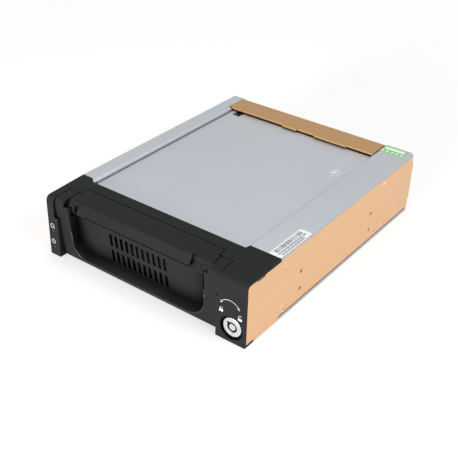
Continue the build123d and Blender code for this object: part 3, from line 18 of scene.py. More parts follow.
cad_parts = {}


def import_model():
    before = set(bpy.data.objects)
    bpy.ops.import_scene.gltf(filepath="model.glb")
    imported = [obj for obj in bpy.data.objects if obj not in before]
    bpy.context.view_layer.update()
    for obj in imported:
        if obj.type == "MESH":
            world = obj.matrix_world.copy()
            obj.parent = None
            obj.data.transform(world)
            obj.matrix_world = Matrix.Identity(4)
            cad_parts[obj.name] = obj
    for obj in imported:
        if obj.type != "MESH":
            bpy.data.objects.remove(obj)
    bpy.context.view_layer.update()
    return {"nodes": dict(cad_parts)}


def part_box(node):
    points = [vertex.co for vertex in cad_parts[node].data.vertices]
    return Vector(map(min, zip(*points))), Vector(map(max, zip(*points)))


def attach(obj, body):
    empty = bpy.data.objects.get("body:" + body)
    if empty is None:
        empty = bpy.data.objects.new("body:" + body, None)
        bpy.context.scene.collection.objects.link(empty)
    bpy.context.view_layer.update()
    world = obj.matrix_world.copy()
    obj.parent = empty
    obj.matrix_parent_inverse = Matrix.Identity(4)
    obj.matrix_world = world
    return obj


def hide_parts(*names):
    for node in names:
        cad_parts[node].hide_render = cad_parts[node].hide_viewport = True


MM = 0.001
TO_METRES = Matrix.Scale(MM, 4)
WELD = 1e-6
WHITE = (1.0, 1.0, 1.0)
EVEN = (1.0, 1.0, 1.0)
LOG = logging.getLogger("drive_cage")
Colour = tuple[float, float, float]
Point = tuple[float, float]
Outline = list[Point]
Rect = tuple[float, float, float, float]
Operand = Union["Value", float]


class Body(Enum):
    """Bodies of the frame that the scene's own pieces ride on."""

    CAGE = "cage"
    TRAY = "tray"
    COVER = "cover"


class Slot(Enum):
    """Material slots of the record, named in the tags of the scene's own pieces."""

    BLACK = "black_plastic"
    SILVER = "silver_sheet"
    SCREW = "screw_metal"
    BRASS = "standoff_brass"


class Facing(Enum):
    """Direction that a thin printed or stuck-on piece faces."""

    FRONT = "front"
    TOP = "top"


class Value:
    """A number on a shader socket. Expressions on it add Math nodes."""

    def __init__(self, tree: Tree, socket: NodeSocket) -> None:
        """Wraps a socket that gives a number."""
        self.tree = tree
        self.socket = socket

    def _math(self, operation: str, first: Operand, second: Operand, clamp: bool = False) -> Value:
        """The result of one Math node, held between 0 and 1 where it is clamped."""
        settings = {"operation": operation, "use_clamp": clamp}
        return self.tree.value("ShaderNodeMath", settings, {0: first, 1: second})

    def __add__(self, other: Operand) -> Value:
        """This value plus another."""
        return self._math("ADD", self, other)

    def __radd__(self, other: Operand) -> Value:
        """Another value plus this one."""
        return self._math("ADD", other, self)

    def __sub__(self, other: Operand) -> Value:
        """This value less another."""
        return self._math("SUBTRACT", self, other)

    def __rsub__(self, other: Operand) -> Value:
        """Another value less this one."""
        return self._math("SUBTRACT", other, self)

    def __mul__(self, other: Operand) -> Value:
        """This value times another."""
        return self._math("MULTIPLY", self, other)

    def __rmul__(self, other: Operand) -> Value:
        """Another value times this one."""
        return self._math("MULTIPLY", other, self)

    def __gt__(self, other: Operand) -> Value:
        """1 where this value is the larger, and 0 elsewhere."""
        return self._math("GREATER_THAN", self, other)

    def __lt__(self, other: Operand) -> Value:
        """1 where this value is the smaller, and 0 elsewhere."""
        return self._math("LESS_THAN", self, other)

    def most(self, other: Operand) -> Value:
        """The larger of this value and another."""
        return self._math("MAXIMUM", self, other)

    def held(self) -> Value:
        """This value, held between 0 and 1."""
        return self._math("ADD", self, 0.0, clamp=True)


Input = Union[Value, NodeSocket, float, Sequence[float]]


class Tree:
    """A node tree, emptied and filled anew."""

    def __init__(self, tree: NodeTree) -> None:
        """Empties the tree."""
        self.tree = tree
        self.tree.nodes.clear()

    def node(self, kind: str, settings: dict | None = None, inputs: dict | None = None) -> Node:
        """Adds a node, sets its settings, and then fills its sockets.

        Args:
            kind: The node's type.
            settings: Properties by name.
            inputs: Numbers, values or sockets by socket name or index.

        Returns:
            The new node.
        """
        made = self.tree.nodes.new(kind)
        for name, value in (settings or {}).items():
            setattr(made, name, value)
        for key, value in (inputs or {}).items():
            self.fill(made.inputs[key], value)
        return made

    def value(self, kind: str, settings: dict | None = None, inputs: dict | None = None,
              output: int | str = 0) -> Value:
        """One output of a new node, as a number."""
        return Value(self, self.node(kind, settings, inputs).outputs[output])

    def fill(self, socket: NodeSocket, value: Input) -> None:
        """Links or sets one socket.

        Args:
            socket: The socket to fill.
            value: A number, a colour, a value or another node's socket.
        """
        if isinstance(value, Value):
            self.tree.links.new(value.socket, socket)
        elif isinstance(value, NodeSocket):
            self.tree.links.new(value, socket)
        elif isinstance(value, (int, float)):
            socket.default_value = value
        else:
            wide = len(socket.default_value)
            socket.default_value = tuple(value) + (1.0,) * (wide - len(value))

    def mix(self, share: Operand, first: Node, second: Node) -> Node:
        """Mixes two shader nodes, by the share of the second."""
        inputs = {0: share, 1: first.outputs[0], 2: second.outputs[0]}
        return self.node("ShaderNodeMixShader", None, inputs)

    def seen(self) -> Value:
        """Tells the rays that show a surface from those that only light one.

        Returns:
            1 on camera, glossy and transmission rays, and 0 on all others.
        """
        path = self.node("ShaderNodeLightPath").outputs
        rays = ("Camera", "Glossy", "Transmission")
        camera, glossy, through = (Value(self, path[f"Is {ray} Ray"]) for ray in rays)
        return camera.most(glossy).most(through)


class Graph(Tree):
    """The node graph of one material, built round a Principled shader."""

    EDGE_GAIN = 6.0

    def __init__(self, name: str) -> None:
        """Starts a material of that name with a plain shader.

        Args:
            name: The material's name.
        """
        self.material = bpy.data.materials.new(name)
        self.material.use_nodes = True
        super().__init__(self.material.node_tree)
        self.shader = self.node("ShaderNodeBsdfPrincipled")
        surface = {"Surface": self.shader.outputs[0]}
        self.output = self.node("ShaderNodeOutputMaterial", None, surface)

    def set(self, **inputs: Input) -> None:
        """Fills the Principled shader's sockets, with underscores for the spaces in their names."""
        for name, value in inputs.items():
            self.fill(self.shader.inputs[name.replace("_", " ")], value)

    def place(self, stretch: Sequence[float] = EVEN) -> NodeSocket:
        """Points of the surface in the piece's own frame, times factors for X, Y and Z."""
        inputs = {0: self.node("ShaderNodeTexCoord").outputs["Object"], 1: stretch}
        return self.node("ShaderNodeVectorMath", {"operation": "MULTIPLY"}, inputs).outputs[0]

    def noise(self, size: float, detail: float = 2.0, stretch: Sequence[float] = EVEN) -> Value:
        """Noise between 0 and 1 of a size in metres. A small stretch draws it out along an axis."""
        inputs = {"Vector": self.place(stretch), "Scale": 1.0 / size, "Detail": detail}
        return self.value("ShaderNodeTexNoise", None, inputs)

    def ramp(self, value: Operand, stops: Sequence[tuple[float, float]]) -> Value:
        """Passes a number through a colour ramp.

        Args:
            value: The number.
            stops: Positions and the grey levels there.

        Returns:
            The level at the number.
        """
        ramp = self.node("ShaderNodeValToRGB", None, {0: value})
        elements = ramp.color_ramp.elements
        while len(elements) < len(stops):
            elements.new(0.5)
        for element, (position, grey) in zip(elements, stops):
            element.position, element.color = position, (grey, grey, grey, 1.0)
        return Value(self, ramp.outputs[0])

    def blend(self, share: Operand, low: Input, high: Input) -> NodeSocket:
        """Mixes two colours, by the share of the second."""
        inputs = {0: share, 6: low, 7: high}
        return self.node("ShaderNodeMix", {"data_type": "RGBA"}, inputs).outputs[2]

    def behind(self, level: float, reach: float) -> Value:
        """0 in front of a level on the piece's own Y, and 1 from a reach behind it, in metres."""
        depth = self.value("ShaderNodeSeparateXYZ", None, {0: self.place()}, "Y")
        return ((depth - level) * (1.0 / reach)).held()

    def rounded(self, radius: float) -> NodeSocket:
        """Normals that round every sharp edge by a radius in metres."""
        return self.node("ShaderNodeBevel", {"samples": 6}, {"Radius": radius}).outputs[0]

    def edges(self, radius: float) -> Value:
        """A mask of the stretch near sharp edges.

        Args:
            radius: Reach of the mask, in metres.

        Returns:
            About 1 at an edge and 0 away from it.
        """
        normals = {0: self.rounded(radius), 1: self.node("ShaderNodeNewGeometry").outputs["Normal"]}
        dot = self.value("ShaderNodeVectorMath", {"operation": "DOT_PRODUCT"}, normals, "Value")
        return ((1.0 - dot) * self.EDGE_GAIN).held()

    def occlusion_shade(self, reach: float, hidden: Point) -> Value:
        """A mask for painted shade in the piece's own corners and recesses, from ambient occlusion.

        Args:
            reach: How far a surface looks about it, in metres.
            hidden: Shares of its view that are hidden where the mask starts and is full.

        Returns:
            1 deep in a recess and 0 on an open face.
        """
        settings = {"samples": 8, "only_local": True}
        view = self.value("ShaderNodeAmbientOcclusion", settings, {"Distance": reach}, "AO")
        return self.ramp(1.0 - view, [(hidden[0], 0.0), (hidden[1], 1.0)])

    def bump(self, height: Value, depth: float, edge: float) -> None:
        """Bumps the shader's normal by a depth in metres, over edges rounded by a radius."""
        inputs = {"Height": height, "Distance": depth, "Normal": self.rounded(edge)}
        self.set(Normal=self.node("ShaderNodeBump", None, inputs).outputs[0])


@dataclass(frozen=True)
class Finish:
    """A surface finish with a base colour and a roughness."""

    name: str
    colour: Colour
    roughness: float = 0.5
    edge: float = 0.3 * MM

    def shades(self, spread: float) -> tuple[Colour, Colour]:
        """The colour made darker and lighter by a share."""
        light = tuple(min(1.0, c * (1.0 + spread)) for c in self.colour)
        return tuple(c * (1.0 - spread) for c in self.colour), light

    def build(self) -> Material:
        """Makes the material.

        Returns:
            The material.
        """
        graph = Graph(self.name)
        self.dress(graph)
        return graph.material

    def dress(self, graph: Graph) -> None:
        """Fills a material's graph with this finish."""
        raise NotImplementedError


@dataclass(frozen=True)
class Moulded(Finish):
    """Injection-moulded plastic with spark-eroded grain, edges painted paler for wear and
    highlight, and painted shade in its recesses.
    """

    grain: float = 0.35 * MM
    depth: float = 0.02 * MM
    specular: float = 0.05
    edge_sheen_and_wear: float = 0.5
    gloss: float = 0.5
    painted_shade: float = 0.85
    reach: float = 7 * MM
    hidden: Point = (0.1, 0.36)
    cloudy: float = 0.16

    def dress(self, graph: Graph) -> None:
        """Adds grain, cloudy variation, painted shade in the recesses, and paler, glossier edges
        painted for wear and highlight.

        Args:
            graph: The material's graph.
        """
        dark, light = self.shades(self.cloudy)
        cloud = graph.noise(26 * MM, 3.0)
        grain = graph.noise(self.grain, 4.0)
        # Edges painted paler and glossier: part wear, part painted highlight.
        edge_wear_and_sheen = graph.edges(self.edge * 1.6) * self.edge_sheen_and_wear
        wear_and_sheen = tuple(c * 1.5 + 0.012 for c in self.colour)
        base = graph.blend(edge_wear_and_sheen, graph.blend(cloud, dark, light), wear_and_sheen)
        # Painted shade: the colour darkened to a tenth in corners and recesses, by ambient
        # occlusion.
        shade_colour = tuple(c * 0.1 for c in self.colour)
        recess = graph.occlusion_shade(self.reach, self.hidden) * self.painted_shade
        graph.set(Base_Color=graph.blend(recess, base, shade_colour))
        rough = (cloud - 0.5) * 0.10 + (grain - 0.5) * 0.22 + self.roughness - edge_wear_and_sheen * 0.12
        graph.set(Roughness=rough.held(), Specular_IOR_Level=self.specular)
        graph.set(Coat_Weight=(edge_wear_and_sheen * self.gloss).held(), Coat_Roughness=0.22, Coat_IOR=1.45)
        graph.bump(grain, self.depth, self.edge)


@dataclass(frozen=True)
class Sheet(Finish):
    """Rolled sheet metal with drawn-out rolling marks, faint stains, and edges painted bright for
    wear and highlight.
    """

    metal: float = 0.8
    lay: tuple[float, float, float] = (1.0, 0.03, 1.0)
    spread: float = 0.05
    relief: float = 0.008 * MM
    scratches: ClassVar[tuple[Point, ...]] = ((0.0, 1.0), (0.27, 1.0), (0.30, 0.0))

    def dress(self, graph: Graph) -> None:
        """Adds rolling marks, a cloudy stain, scratches, and bright edges painted for wear and
        highlight.

        Args:
            graph: The material's graph.
        """
        dark, light = self.shades(self.spread)
        lines = graph.noise(0.55 * MM, 3.0, self.lay)
        broad = graph.noise(5 * MM, 2.0, self.lay)
        cloud = graph.noise(45 * MM, 4.0)
        scratch = graph.ramp(graph.noise(2.6 * MM, 6.0, (1.0, 0.09, 1.0)), self.scratches)
        base = graph.blend((lines * 0.5 + broad * 0.25 + cloud * 0.25).held(), dark, light)
        # Edges and scratches painted brighter: the scratches are wear, the bright edges part wear
        # and part painted highlight.
        bright = tuple(min(1.0, c * 1.18 + 0.03) for c in self.colour)
        edge = graph.edges(self.edge * 1.5) * 0.55
        wear_and_sheen = (edge + scratch * 0.10).held()
        graph.set(Base_Color=graph.blend(wear_and_sheen, base, bright), Metallic=self.metal)
        rough = self.roughness + (lines - 0.5) * 0.16 + (cloud - 0.5) * 0.14 - edge * 0.1
        graph.set(Roughness=rough.held(), Specular_IOR_Level=0.4)
        graph.bump(lines + scratch * 0.4, self.relief, self.edge)


@dataclass(frozen=True)
class Turned(Finish):
    """Plated or turned metal with fine tool rings, painted black past its mouth as shade."""

    ring: float = 0.25 * MM
    metal: float = 1.0
    mouth: float = 1.0
    depth_shade: Colour = (0.006, 0.006, 0.006)

    def dress(self, graph: Graph) -> None:
        """Adds fine marks, small stains and the painted shade in its depth.

        Args:
            graph: The material's graph.
        """
        dark, light = self.shades(0.08)
        marks = graph.noise(self.ring, 3.0, (1.0, 0.12, 1.0))
        stain = graph.noise(3.0 * MM, 4.0)
        # Painted shade: black from just behind the mouth, where the keyway lies in shadow.
        deep = graph.behind(self.mouth, 0.8 * MM)
        base = graph.blend(deep, graph.blend(stain, dark, light), self.depth_shade)
        graph.set(Base_Color=base, Metallic=(1.0 - deep) * self.metal)
        rough = self.roughness + (stain - 0.5) * 0.2 + (marks - 0.5) * 0.1 + deep * 0.4
        graph.set(Roughness=rough.held())
        graph.bump(marks, 0.004 * MM, self.edge)


@dataclass(frozen=True)
class Laminate(Finish):
    """Solder-masked circuit board with tracks under the mask."""

    track: Colour = (0.05, 0.27, 0.12)
    plating: Colour = (0.55, 0.45, 0.25)
    bound: float = 0.56

    def dress(self, graph: Graph) -> None:
        """Adds tracks in two directions and dots for the plated holes.

        Args:
            graph: The material's graph.
        """
        cell = graph.noise(7 * MM, 0.0)
        across = graph.noise(1.3 * MM, 0.0, (0.08, 1.0, 1.0))
        down = graph.noise(1.3 * MM, 0.0, (1.0, 1.0, 0.08))
        tracks = ((cell > 0.5) * (across > self.bound) + (cell < 0.5) * (down > self.bound)).held()
        cells = {"Vector": graph.place(), "Scale": 1 / (3.4 * MM)}
        holes = graph.value("ShaderNodeTexVoronoi", None, cells, "Distance") < 0.09
        base = graph.blend(tracks * 0.8, self.colour, self.track)
        graph.set(Base_Color=graph.blend(holes, base, self.plating), Metallic=holes * 0.9)
        graph.set(Roughness=self.roughness + holes * 0.1, Coat_Weight=0.4)
        graph.bump(tracks, 0.02 * MM, self.edge)


@dataclass(frozen=True)
class Clear(Finish):
    """Clear or tinted moulding that lets light through."""

    weight: float = 0.9

    def dress(self, graph: Graph) -> None:
        """Adds faint ripples to a see-through body.

        Args:
            graph: The material's graph.
        """
        ripple = graph.noise(1.2 * MM, 2.0)
        dark, light = self.shades(0.06)
        graph.set(Base_Color=graph.blend(ripple, dark, light), IOR=1.49)
        graph.set(Roughness=(ripple * 0.1 + self.roughness).held(), Transmission_Weight=self.weight)
        graph.bump(ripple, 0.01 * MM, self.edge)


@dataclass(frozen=True)
class Printed(Finish):
    """Screen-printed ink, coated paper or foam, with a little mottle."""

    mottle: float = 0.06

    def dress(self, graph: Graph) -> None:
        """Adds mottle and a faint fibre relief.

        Args:
            graph: The material's graph.
        """
        fibre = graph.noise(0.4 * MM, 3.0)
        dark, light = self.shades(self.mottle)
        graph.set(Base_Color=graph.blend(fibre, dark, light), Specular_IOR_Level=0.3)
        graph.set(Roughness=(self.roughness + (fibre - 0.5) * 0.2).held())
        graph.bump(fibre, 0.004 * MM, self.edge)


BLACK = (0.0145, 0.0152, 0.0153)


class Finishes:
    """Every finish of the object."""

    # Its recesses take the full painted shade, over a long reach.
    black = Moulded("black_abs", BLACK, 0.5, painted_shade=1.0, reach=12 * MM, hidden=(0.05, 0.19))
    black_bead = Moulded("black_bead", BLACK, 0.3,
                         grain=0.6 * MM, specular=0.28, edge_sheen_and_wear=0.0, painted_shade=0.0)
    black_fan = Moulded("black_fan", (0.014, 0.014, 0.016), 0.42, grain=0.5 * MM)
    black_socket = Moulded("black_socket", (0.012, 0.012, 0.013), 0.38, grain=0.3 * MM)
    nylon = Moulded("natural_nylon", (0.68, 0.66, 0.58), 0.45, grain=0.4 * MM, edge_sheen_and_wear=0.1)
    acetal = Moulded("white_acetal", (0.62, 0.62, 0.6), 0.36, grain=0.6 * MM, edge_sheen_and_wear=0.1)
    silver = Sheet("silver_sheet", (0.42, 0.445, 0.475), 0.42)
    cover = Sheet("cover_sheet", (0.425, 0.445, 0.475), 0.44, lay=(0.03, 1.0, 1.0))
    gold = Sheet("gold_sheet", (0.80, 0.50, 0.28), 0.5,
                 metal=0.45, lay=(1.0, 0.04, 1.0), spread=0.04)
    pressed = Sheet("pressed_mark", (0.66, 0.67, 0.70), 0.36)
    # The rear panel's gold is the side panels' gold painted darker and deeper: painted shade for
    # its top and rear, which catch less light than the sides.
    gold_shaded = Sheet("gold_sheet_shaded", (0.40, 0.225, 0.09), 0.46,
                   metal=0.5, lay=(0.04, 1.0, 1.0), spread=0.06)
    # The lock's face is painted black just behind its face, as shade in its keyway.
    chrome = Turned("lock_face", (0.72, 0.70, 0.72), 0.22, mouth=-92.4 * MM)
    steel = Turned("plain_steel", (0.5, 0.5, 0.5), 0.32)
    spring = Turned("spring_steel", (0.75, 0.75, 0.72), 0.18)
    zinc = Turned("zinc_plate", (0.62, 0.6, 0.55), 0.34)
    gold_zinc = Turned("gold_screw", (0.78, 0.56, 0.36), 0.3)
    brass = Turned("turned_brass", (0.72, 0.52, 0.24), 0.28)
    contact = Turned("contact_gold", (0.9, 0.68, 0.3), 0.2)
    board = Laminate("circuit_board", (0.014, 0.10, 0.045), 0.3)
    guide = Clear("light_guide", (0.5, 0.52, 0.5), 0.1, weight=0.75)
    lens = Clear("lamp_lens", (0.15, 0.5, 0.2), 0.15, weight=0.5)
    ink = Printed("white_ink", (0.50, 0.51, 0.51), 0.55)
    paper = Printed("white_label", (0.84, 0.84, 0.87), 0.5)
    print_grey = Printed("label_print", (0.12, 0.12, 0.14), 0.55)
    green = Printed("green_label", (0.22, 0.56, 0.17), 0.4)
    foam = Printed("black_foam", (0.02, 0.02, 0.02), 0.9, mottle=0.3)


class Shapes:
    """Outlines in millimetres, as lists of points, turning anticlockwise."""

    @staticmethod
    def box(x0: float, x1: float, y0: float, y1: float) -> Outline:
        """A rectangle between two corners."""
        return [(x0, y0), (x1, y0), (x1, y1), (x0, y1)]

    @staticmethod
    def rounded(sides: Rect, radius: float) -> Outline:
        """A rectangle with round corners.

        Args:
            sides: Its left, right, lower and upper sides.
            radius: Radius of the corners.

        Returns:
            The outline.
        """
        x0, x1, y0, y1 = (side + shift for side, shift in zip(sides, (radius, -radius) * 2))
        outline = []
        for x, y, start in ((x1, y0, -90), (x1, y1, 0), (x0, y1, 90), (x0, y0, 180)):
            outline += Shapes.arc(x, y, radius, start, start + 90, 5)
        return outline

    @staticmethod
    def arc(cx: float, cy: float, radius: float, start: float, end: float,
            steps: int = 24) -> Outline:
        """Points round a centre from one angle to another in degrees, both ends included."""
        angles = [math.radians(start + (end - start) * i / steps) for i in range(steps + 1)]
        return [(cx + radius * math.cos(a), cy + radius * math.sin(a)) for a in angles]

    @staticmethod
    def disc(cx: float, cy: float, radius: float, steps: int = 32) -> Outline:
        """A round outline."""
        return Shapes.arc(cx, cy, radius, 0, 360 - 360 / steps, steps - 1)

    @staticmethod
    def stroke(points: Sequence[Point], width: float) -> Outline:
        """A line of even width along points.

        Args:
            points: The middle of the line.
            width: Its width.

        Returns:
            The outline.
        """
        left, right = [], []
        for i, (x, y) in enumerate(points):
            ax, ay = points[max(i - 1, 0)]
            bx, by = points[min(i + 1, len(points) - 1)]
            length = math.hypot(bx - ax, by - ay)
            nx, ny = -(by - ay) / length * width / 2, (bx - ax) / length * width / 2
            left.append((x + nx, y + ny))
            right.append((x - nx, y - ny))
        return right + left[::-1]

    @staticmethod
    def arrow_head(tip: Point, heading: float, length: float, width: float) -> Outline:
        """A triangle that points somewhere.

        Args:
            tip: Its tip.
            heading: Direction that it points in, in degrees.
            length: Length from base to tip.
            width: Width of the base.

        Returns:
            The outline.
        """
        cos, sin = math.cos(math.radians(heading)), math.sin(math.radians(heading))
        x, y = tip[0] - cos * length, tip[1] - sin * length
        return [tip] + [(x - sin * side, y + cos * side) for side in (width / 2, -width / 2)]


class Tag(NamedTuple):
    """What a piece is called, rides on, is made of and stands for."""

    name: str
    body: Body
    slot: Slot
    finish: Finish
    stands_for: tuple[str, ...] = ()


@dataclass
class Workshop:
    """Makes the scene's own meshes, dresses them and sets them on their bodies."""

    nodes: dict[str, Object]
    materials: dict[Finish, Material] = field(default_factory=dict)
    made: list[str] = field(default_factory=list)

    def adopt(self, mesh: BMesh, tag: Tag) -> None:
        """Turns a mesh into a finished piece that rides on a body.

        Args:
            mesh: The mesh, in metres in the frame. It is freed.
            tag: What the piece is.
        """
        name, body, slot, finish, stands_for = tag
        bmesh.ops.remove_doubles(mesh, verts=mesh.verts, dist=WELD / 10)
        bmesh.ops.recalc_face_normals(mesh, faces=mesh.faces)
        data = bpy.data.meshes.new(name)
        mesh.to_mesh(data)
        mesh.free()
        piece = bpy.data.objects.new(name, data)
        bpy.context.scene.collection.objects.link(piece)
        self.dress(piece, finish)
        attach(piece, body.value)
        if stands_for:
            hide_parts(*stands_for)
        self.made.append(name)
        LOG.info("made %s on %s", name, body.value)

    def dress(self, piece: Object, finish: Finish) -> None:
        """Gives a piece one material over all of it, which is made on its first use.

        Args:
            piece: A mesh object.
            finish: Its finish.
        """
        if finish not in self.materials:
            self.materials[finish] = finish.build()
        piece.data.materials.clear()
        piece.data.materials.append(self.materials[finish])

    def lay(self, outlines: Iterable[Outline], place: Matrix, thickness: float, tag: Tag) -> None:
        """Makes one piece of flat outlines.

        Args:
            outlines: Outlines in millimetres.
            place: Turns them into the frame's metres.
            thickness: Their thickness in millimetres.
            tag: What the piece is.
        """
        mesh = bmesh.new()
        for outline in outlines:
            self.extrude(mesh, outline, place, thickness)
        self.adopt(mesh, tag)

    @staticmethod
    def extrude(mesh: BMesh, outline: Sequence[Point], place: Matrix, thickness: float) -> None:
        """Adds a flat form of even thickness to a mesh.

        Args:
            mesh: The mesh to add to.
            outline: Outline in millimetres.
            place: Turns outline coordinates, in millimetres, into the frame's metres.
            thickness: Thickness in millimetres, towards the outline's own +Z.
        """
        low, high = ([mesh.verts.new(place @ Vector((x, y, z))) for x, y in outline]
                     for z in (0.0, thickness))
        mesh.faces.new(low[::-1])
        mesh.faces.new(high)
        Workshop.band(mesh, low, high)

    @staticmethod
    def band(mesh: BMesh, low: Sequence[BMVert], high: Sequence[BMVert]) -> None:
        """Joins two closed rows of equally many corners by four-sided faces."""
        for i, j in ((i, (i + 1) % len(low)) for i in range(len(low))):
            mesh.faces.new([low[i], low[j], high[j], high[i]])

    @staticmethod
    def lathe(mesh: BMesh, profile: Sequence[Point], place: Matrix, steps: int = 40) -> None:
        """Adds a closed turned form to a mesh.

        Args:
            mesh: The mesh to add to.
            profile: Radius and height in millimetres, from the axis to the axis.
            place: Turns the form's coordinates into the frame's metres, with the axis as its +Z.
            steps: Number of faces round it.
        """
        rings = []
        for radius, height in profile:
            corners = [(0.0, 0.0)] if radius < WELD else Shapes.disc(0.0, 0.0, radius, steps)
            rings.append([mesh.verts.new(place @ Vector((x, y, height))) for x, y in corners])
        for lower, upper in zip(rings, rings[1:]):
            below, above = (row * (steps // len(row)) for row in (lower, upper))
            for i in range(steps):
                j = (i + 1) % steps
                unique = list(dict.fromkeys([below[i], below[j], above[j], above[i]]))
                if len(unique) > 2:
                    mesh.faces.new(unique)

    def welded(self, node: str) -> BMesh:
        """A copy of a node's mesh with its doubled corners joined.

        Args:
            node: The node's name.

        Returns:
            The copy, which its user frees.
        """
        mesh = bmesh.new()
        mesh.from_mesh(self.nodes[node].data)
        bmesh.ops.remove_doubles(mesh, verts=mesh.verts, dist=WELD)
        return mesh

    def solids(self, node: str) -> list[tuple[Vector, Vector]]:
        """Corners of each separate solid of a node.

        Args:
            node: The node's name.

        Returns:
            Lowest and highest corners in millimetres, one pair for each solid.
        """
        mesh = self.welded(node)
        left = set(mesh.verts)
        found = []
        while left:
            todo, members = [left.pop()], []
            while todo:
                vertex = todo.pop()
                members.append(vertex.co / MM)
                near = {edge.other_vert(vertex) for edge in vertex.link_edges} & left
                left -= near
                todo += near
            sides = list(zip(*members))
            found.append((Vector(map(min, sides)), Vector(map(max, sides))))
        mesh.free()
        return sorted(found, key=lambda pair: tuple(round(c, 2) for c in pair[0]))


class Frame:
    """Places read from the fixed frame, in millimetres."""

    COLUMNS: ClassVar[dict[Facing, Sequence[Sequence[int]]]] = {
        Facing.FRONT: ((1, 0, 0), (0, 0, 1), (0, -1, 0)),
        Facing.TOP: ((1, 0, 0), (0, 1, 0), (0, 0, 1)),
    }

    @staticmethod
    def box(node: str) -> tuple[Vector, Vector]:
        """Lowest and highest corners of a node, in millimetres."""
        low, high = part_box(node)
        return low / MM, high / MM

    @staticmethod
    def plane(facing: Facing, level: float) -> Matrix:
        """Finds what takes outlines in millimetres to a flat side of the frame, in metres.

        Args:
            facing: The way that the side faces.
            level: Its place along that axis, in millimetres.

        Returns:
            The matrix.
        """
        columns = Frame.COLUMNS[facing]
        out = [abs(part) * level for part in columns[2]]
        return TO_METRES @ Matrix.Translation(out) @ Matrix(columns).transposed().to_4x4()

    @staticmethod
    def axis(point: Vector, way: Vector) -> Matrix:
        """What takes turned forms in millimetres to a point, and their +Z to a way, in metres."""
        turn = Vector((0, 0, 1)).rotation_difference(way).to_matrix().to_4x4()
        return TO_METRES @ Matrix.Translation(point) @ turn


@dataclass
class Job:
    """Something that the workshop makes or dresses."""

    workshop: Workshop


@dataclass
class Dressing(Job):
    """Nodes of the frame that keep their shape and take a finish."""

    plan: ClassVar[dict[Finish, tuple[str, ...]]] = {}

    def build(self) -> None:
        """Gives each node its finish."""
        for finish, nodes in self.plan.items():
            for node in nodes:
                self.workshop.dress(self.workshop.nodes[node], finish)
                LOG.info("dressed %s", node)


class SheetMetal(Dressing):
    """The cage's and the tray's sheet-metal nodes."""

    plan = {
        Finishes.silver: ("base_plate", "left_channel", "right_channel", "tray_pan"),
        Finishes.cover: ("tray_cover",),
        Finishes.gold: ("left_side_panel", "right_side_panel"),
        Finishes.gold_shaded: ("rear_panel",),
        Finishes.spring: ("ground_spring", "lock_clip"),
    }


class Mouldings(Dressing):
    """The moulded and turned nodes of the bezel, tray, handle, lock, fan, boards and sockets."""

    plan = {
        Finishes.black: ("front_bezel", "tray_front", "handle"),
        Finishes.black_fan: ("fan_frame", "fan_rotor"),
        Finishes.black_socket: ("key_switch", "data_socket", "drive_connector", "tray_plug",
                                "tray_socket"),
        Finishes.nylon: ("power_socket",),
        Finishes.acetal: ("left_glide", "right_glide", "left_runner", "right_runner"),
        Finishes.board: ("lamp_board", "backplane_board", "tray_board"),
        Finishes.guide: ("light_pipes",),
        Finishes.lens: ("status_lamps",),
        Finishes.chrome: ("lock_barrel", "lock_core"),
        Finishes.steel: ("lock_cam", "cam_collar", "fan_shaft", "handle_pins"),
        Finishes.brass: ("standoffs", "power_pins"),
    }


@dataclass(frozen=True)
class Screws:
    """One group of screws: its node, body and finish, the way its heads face, and its radii."""

    node: str
    body: Body
    finish: Finish
    out: tuple[float, float, float]
    head: float
    shank: float = 1.4


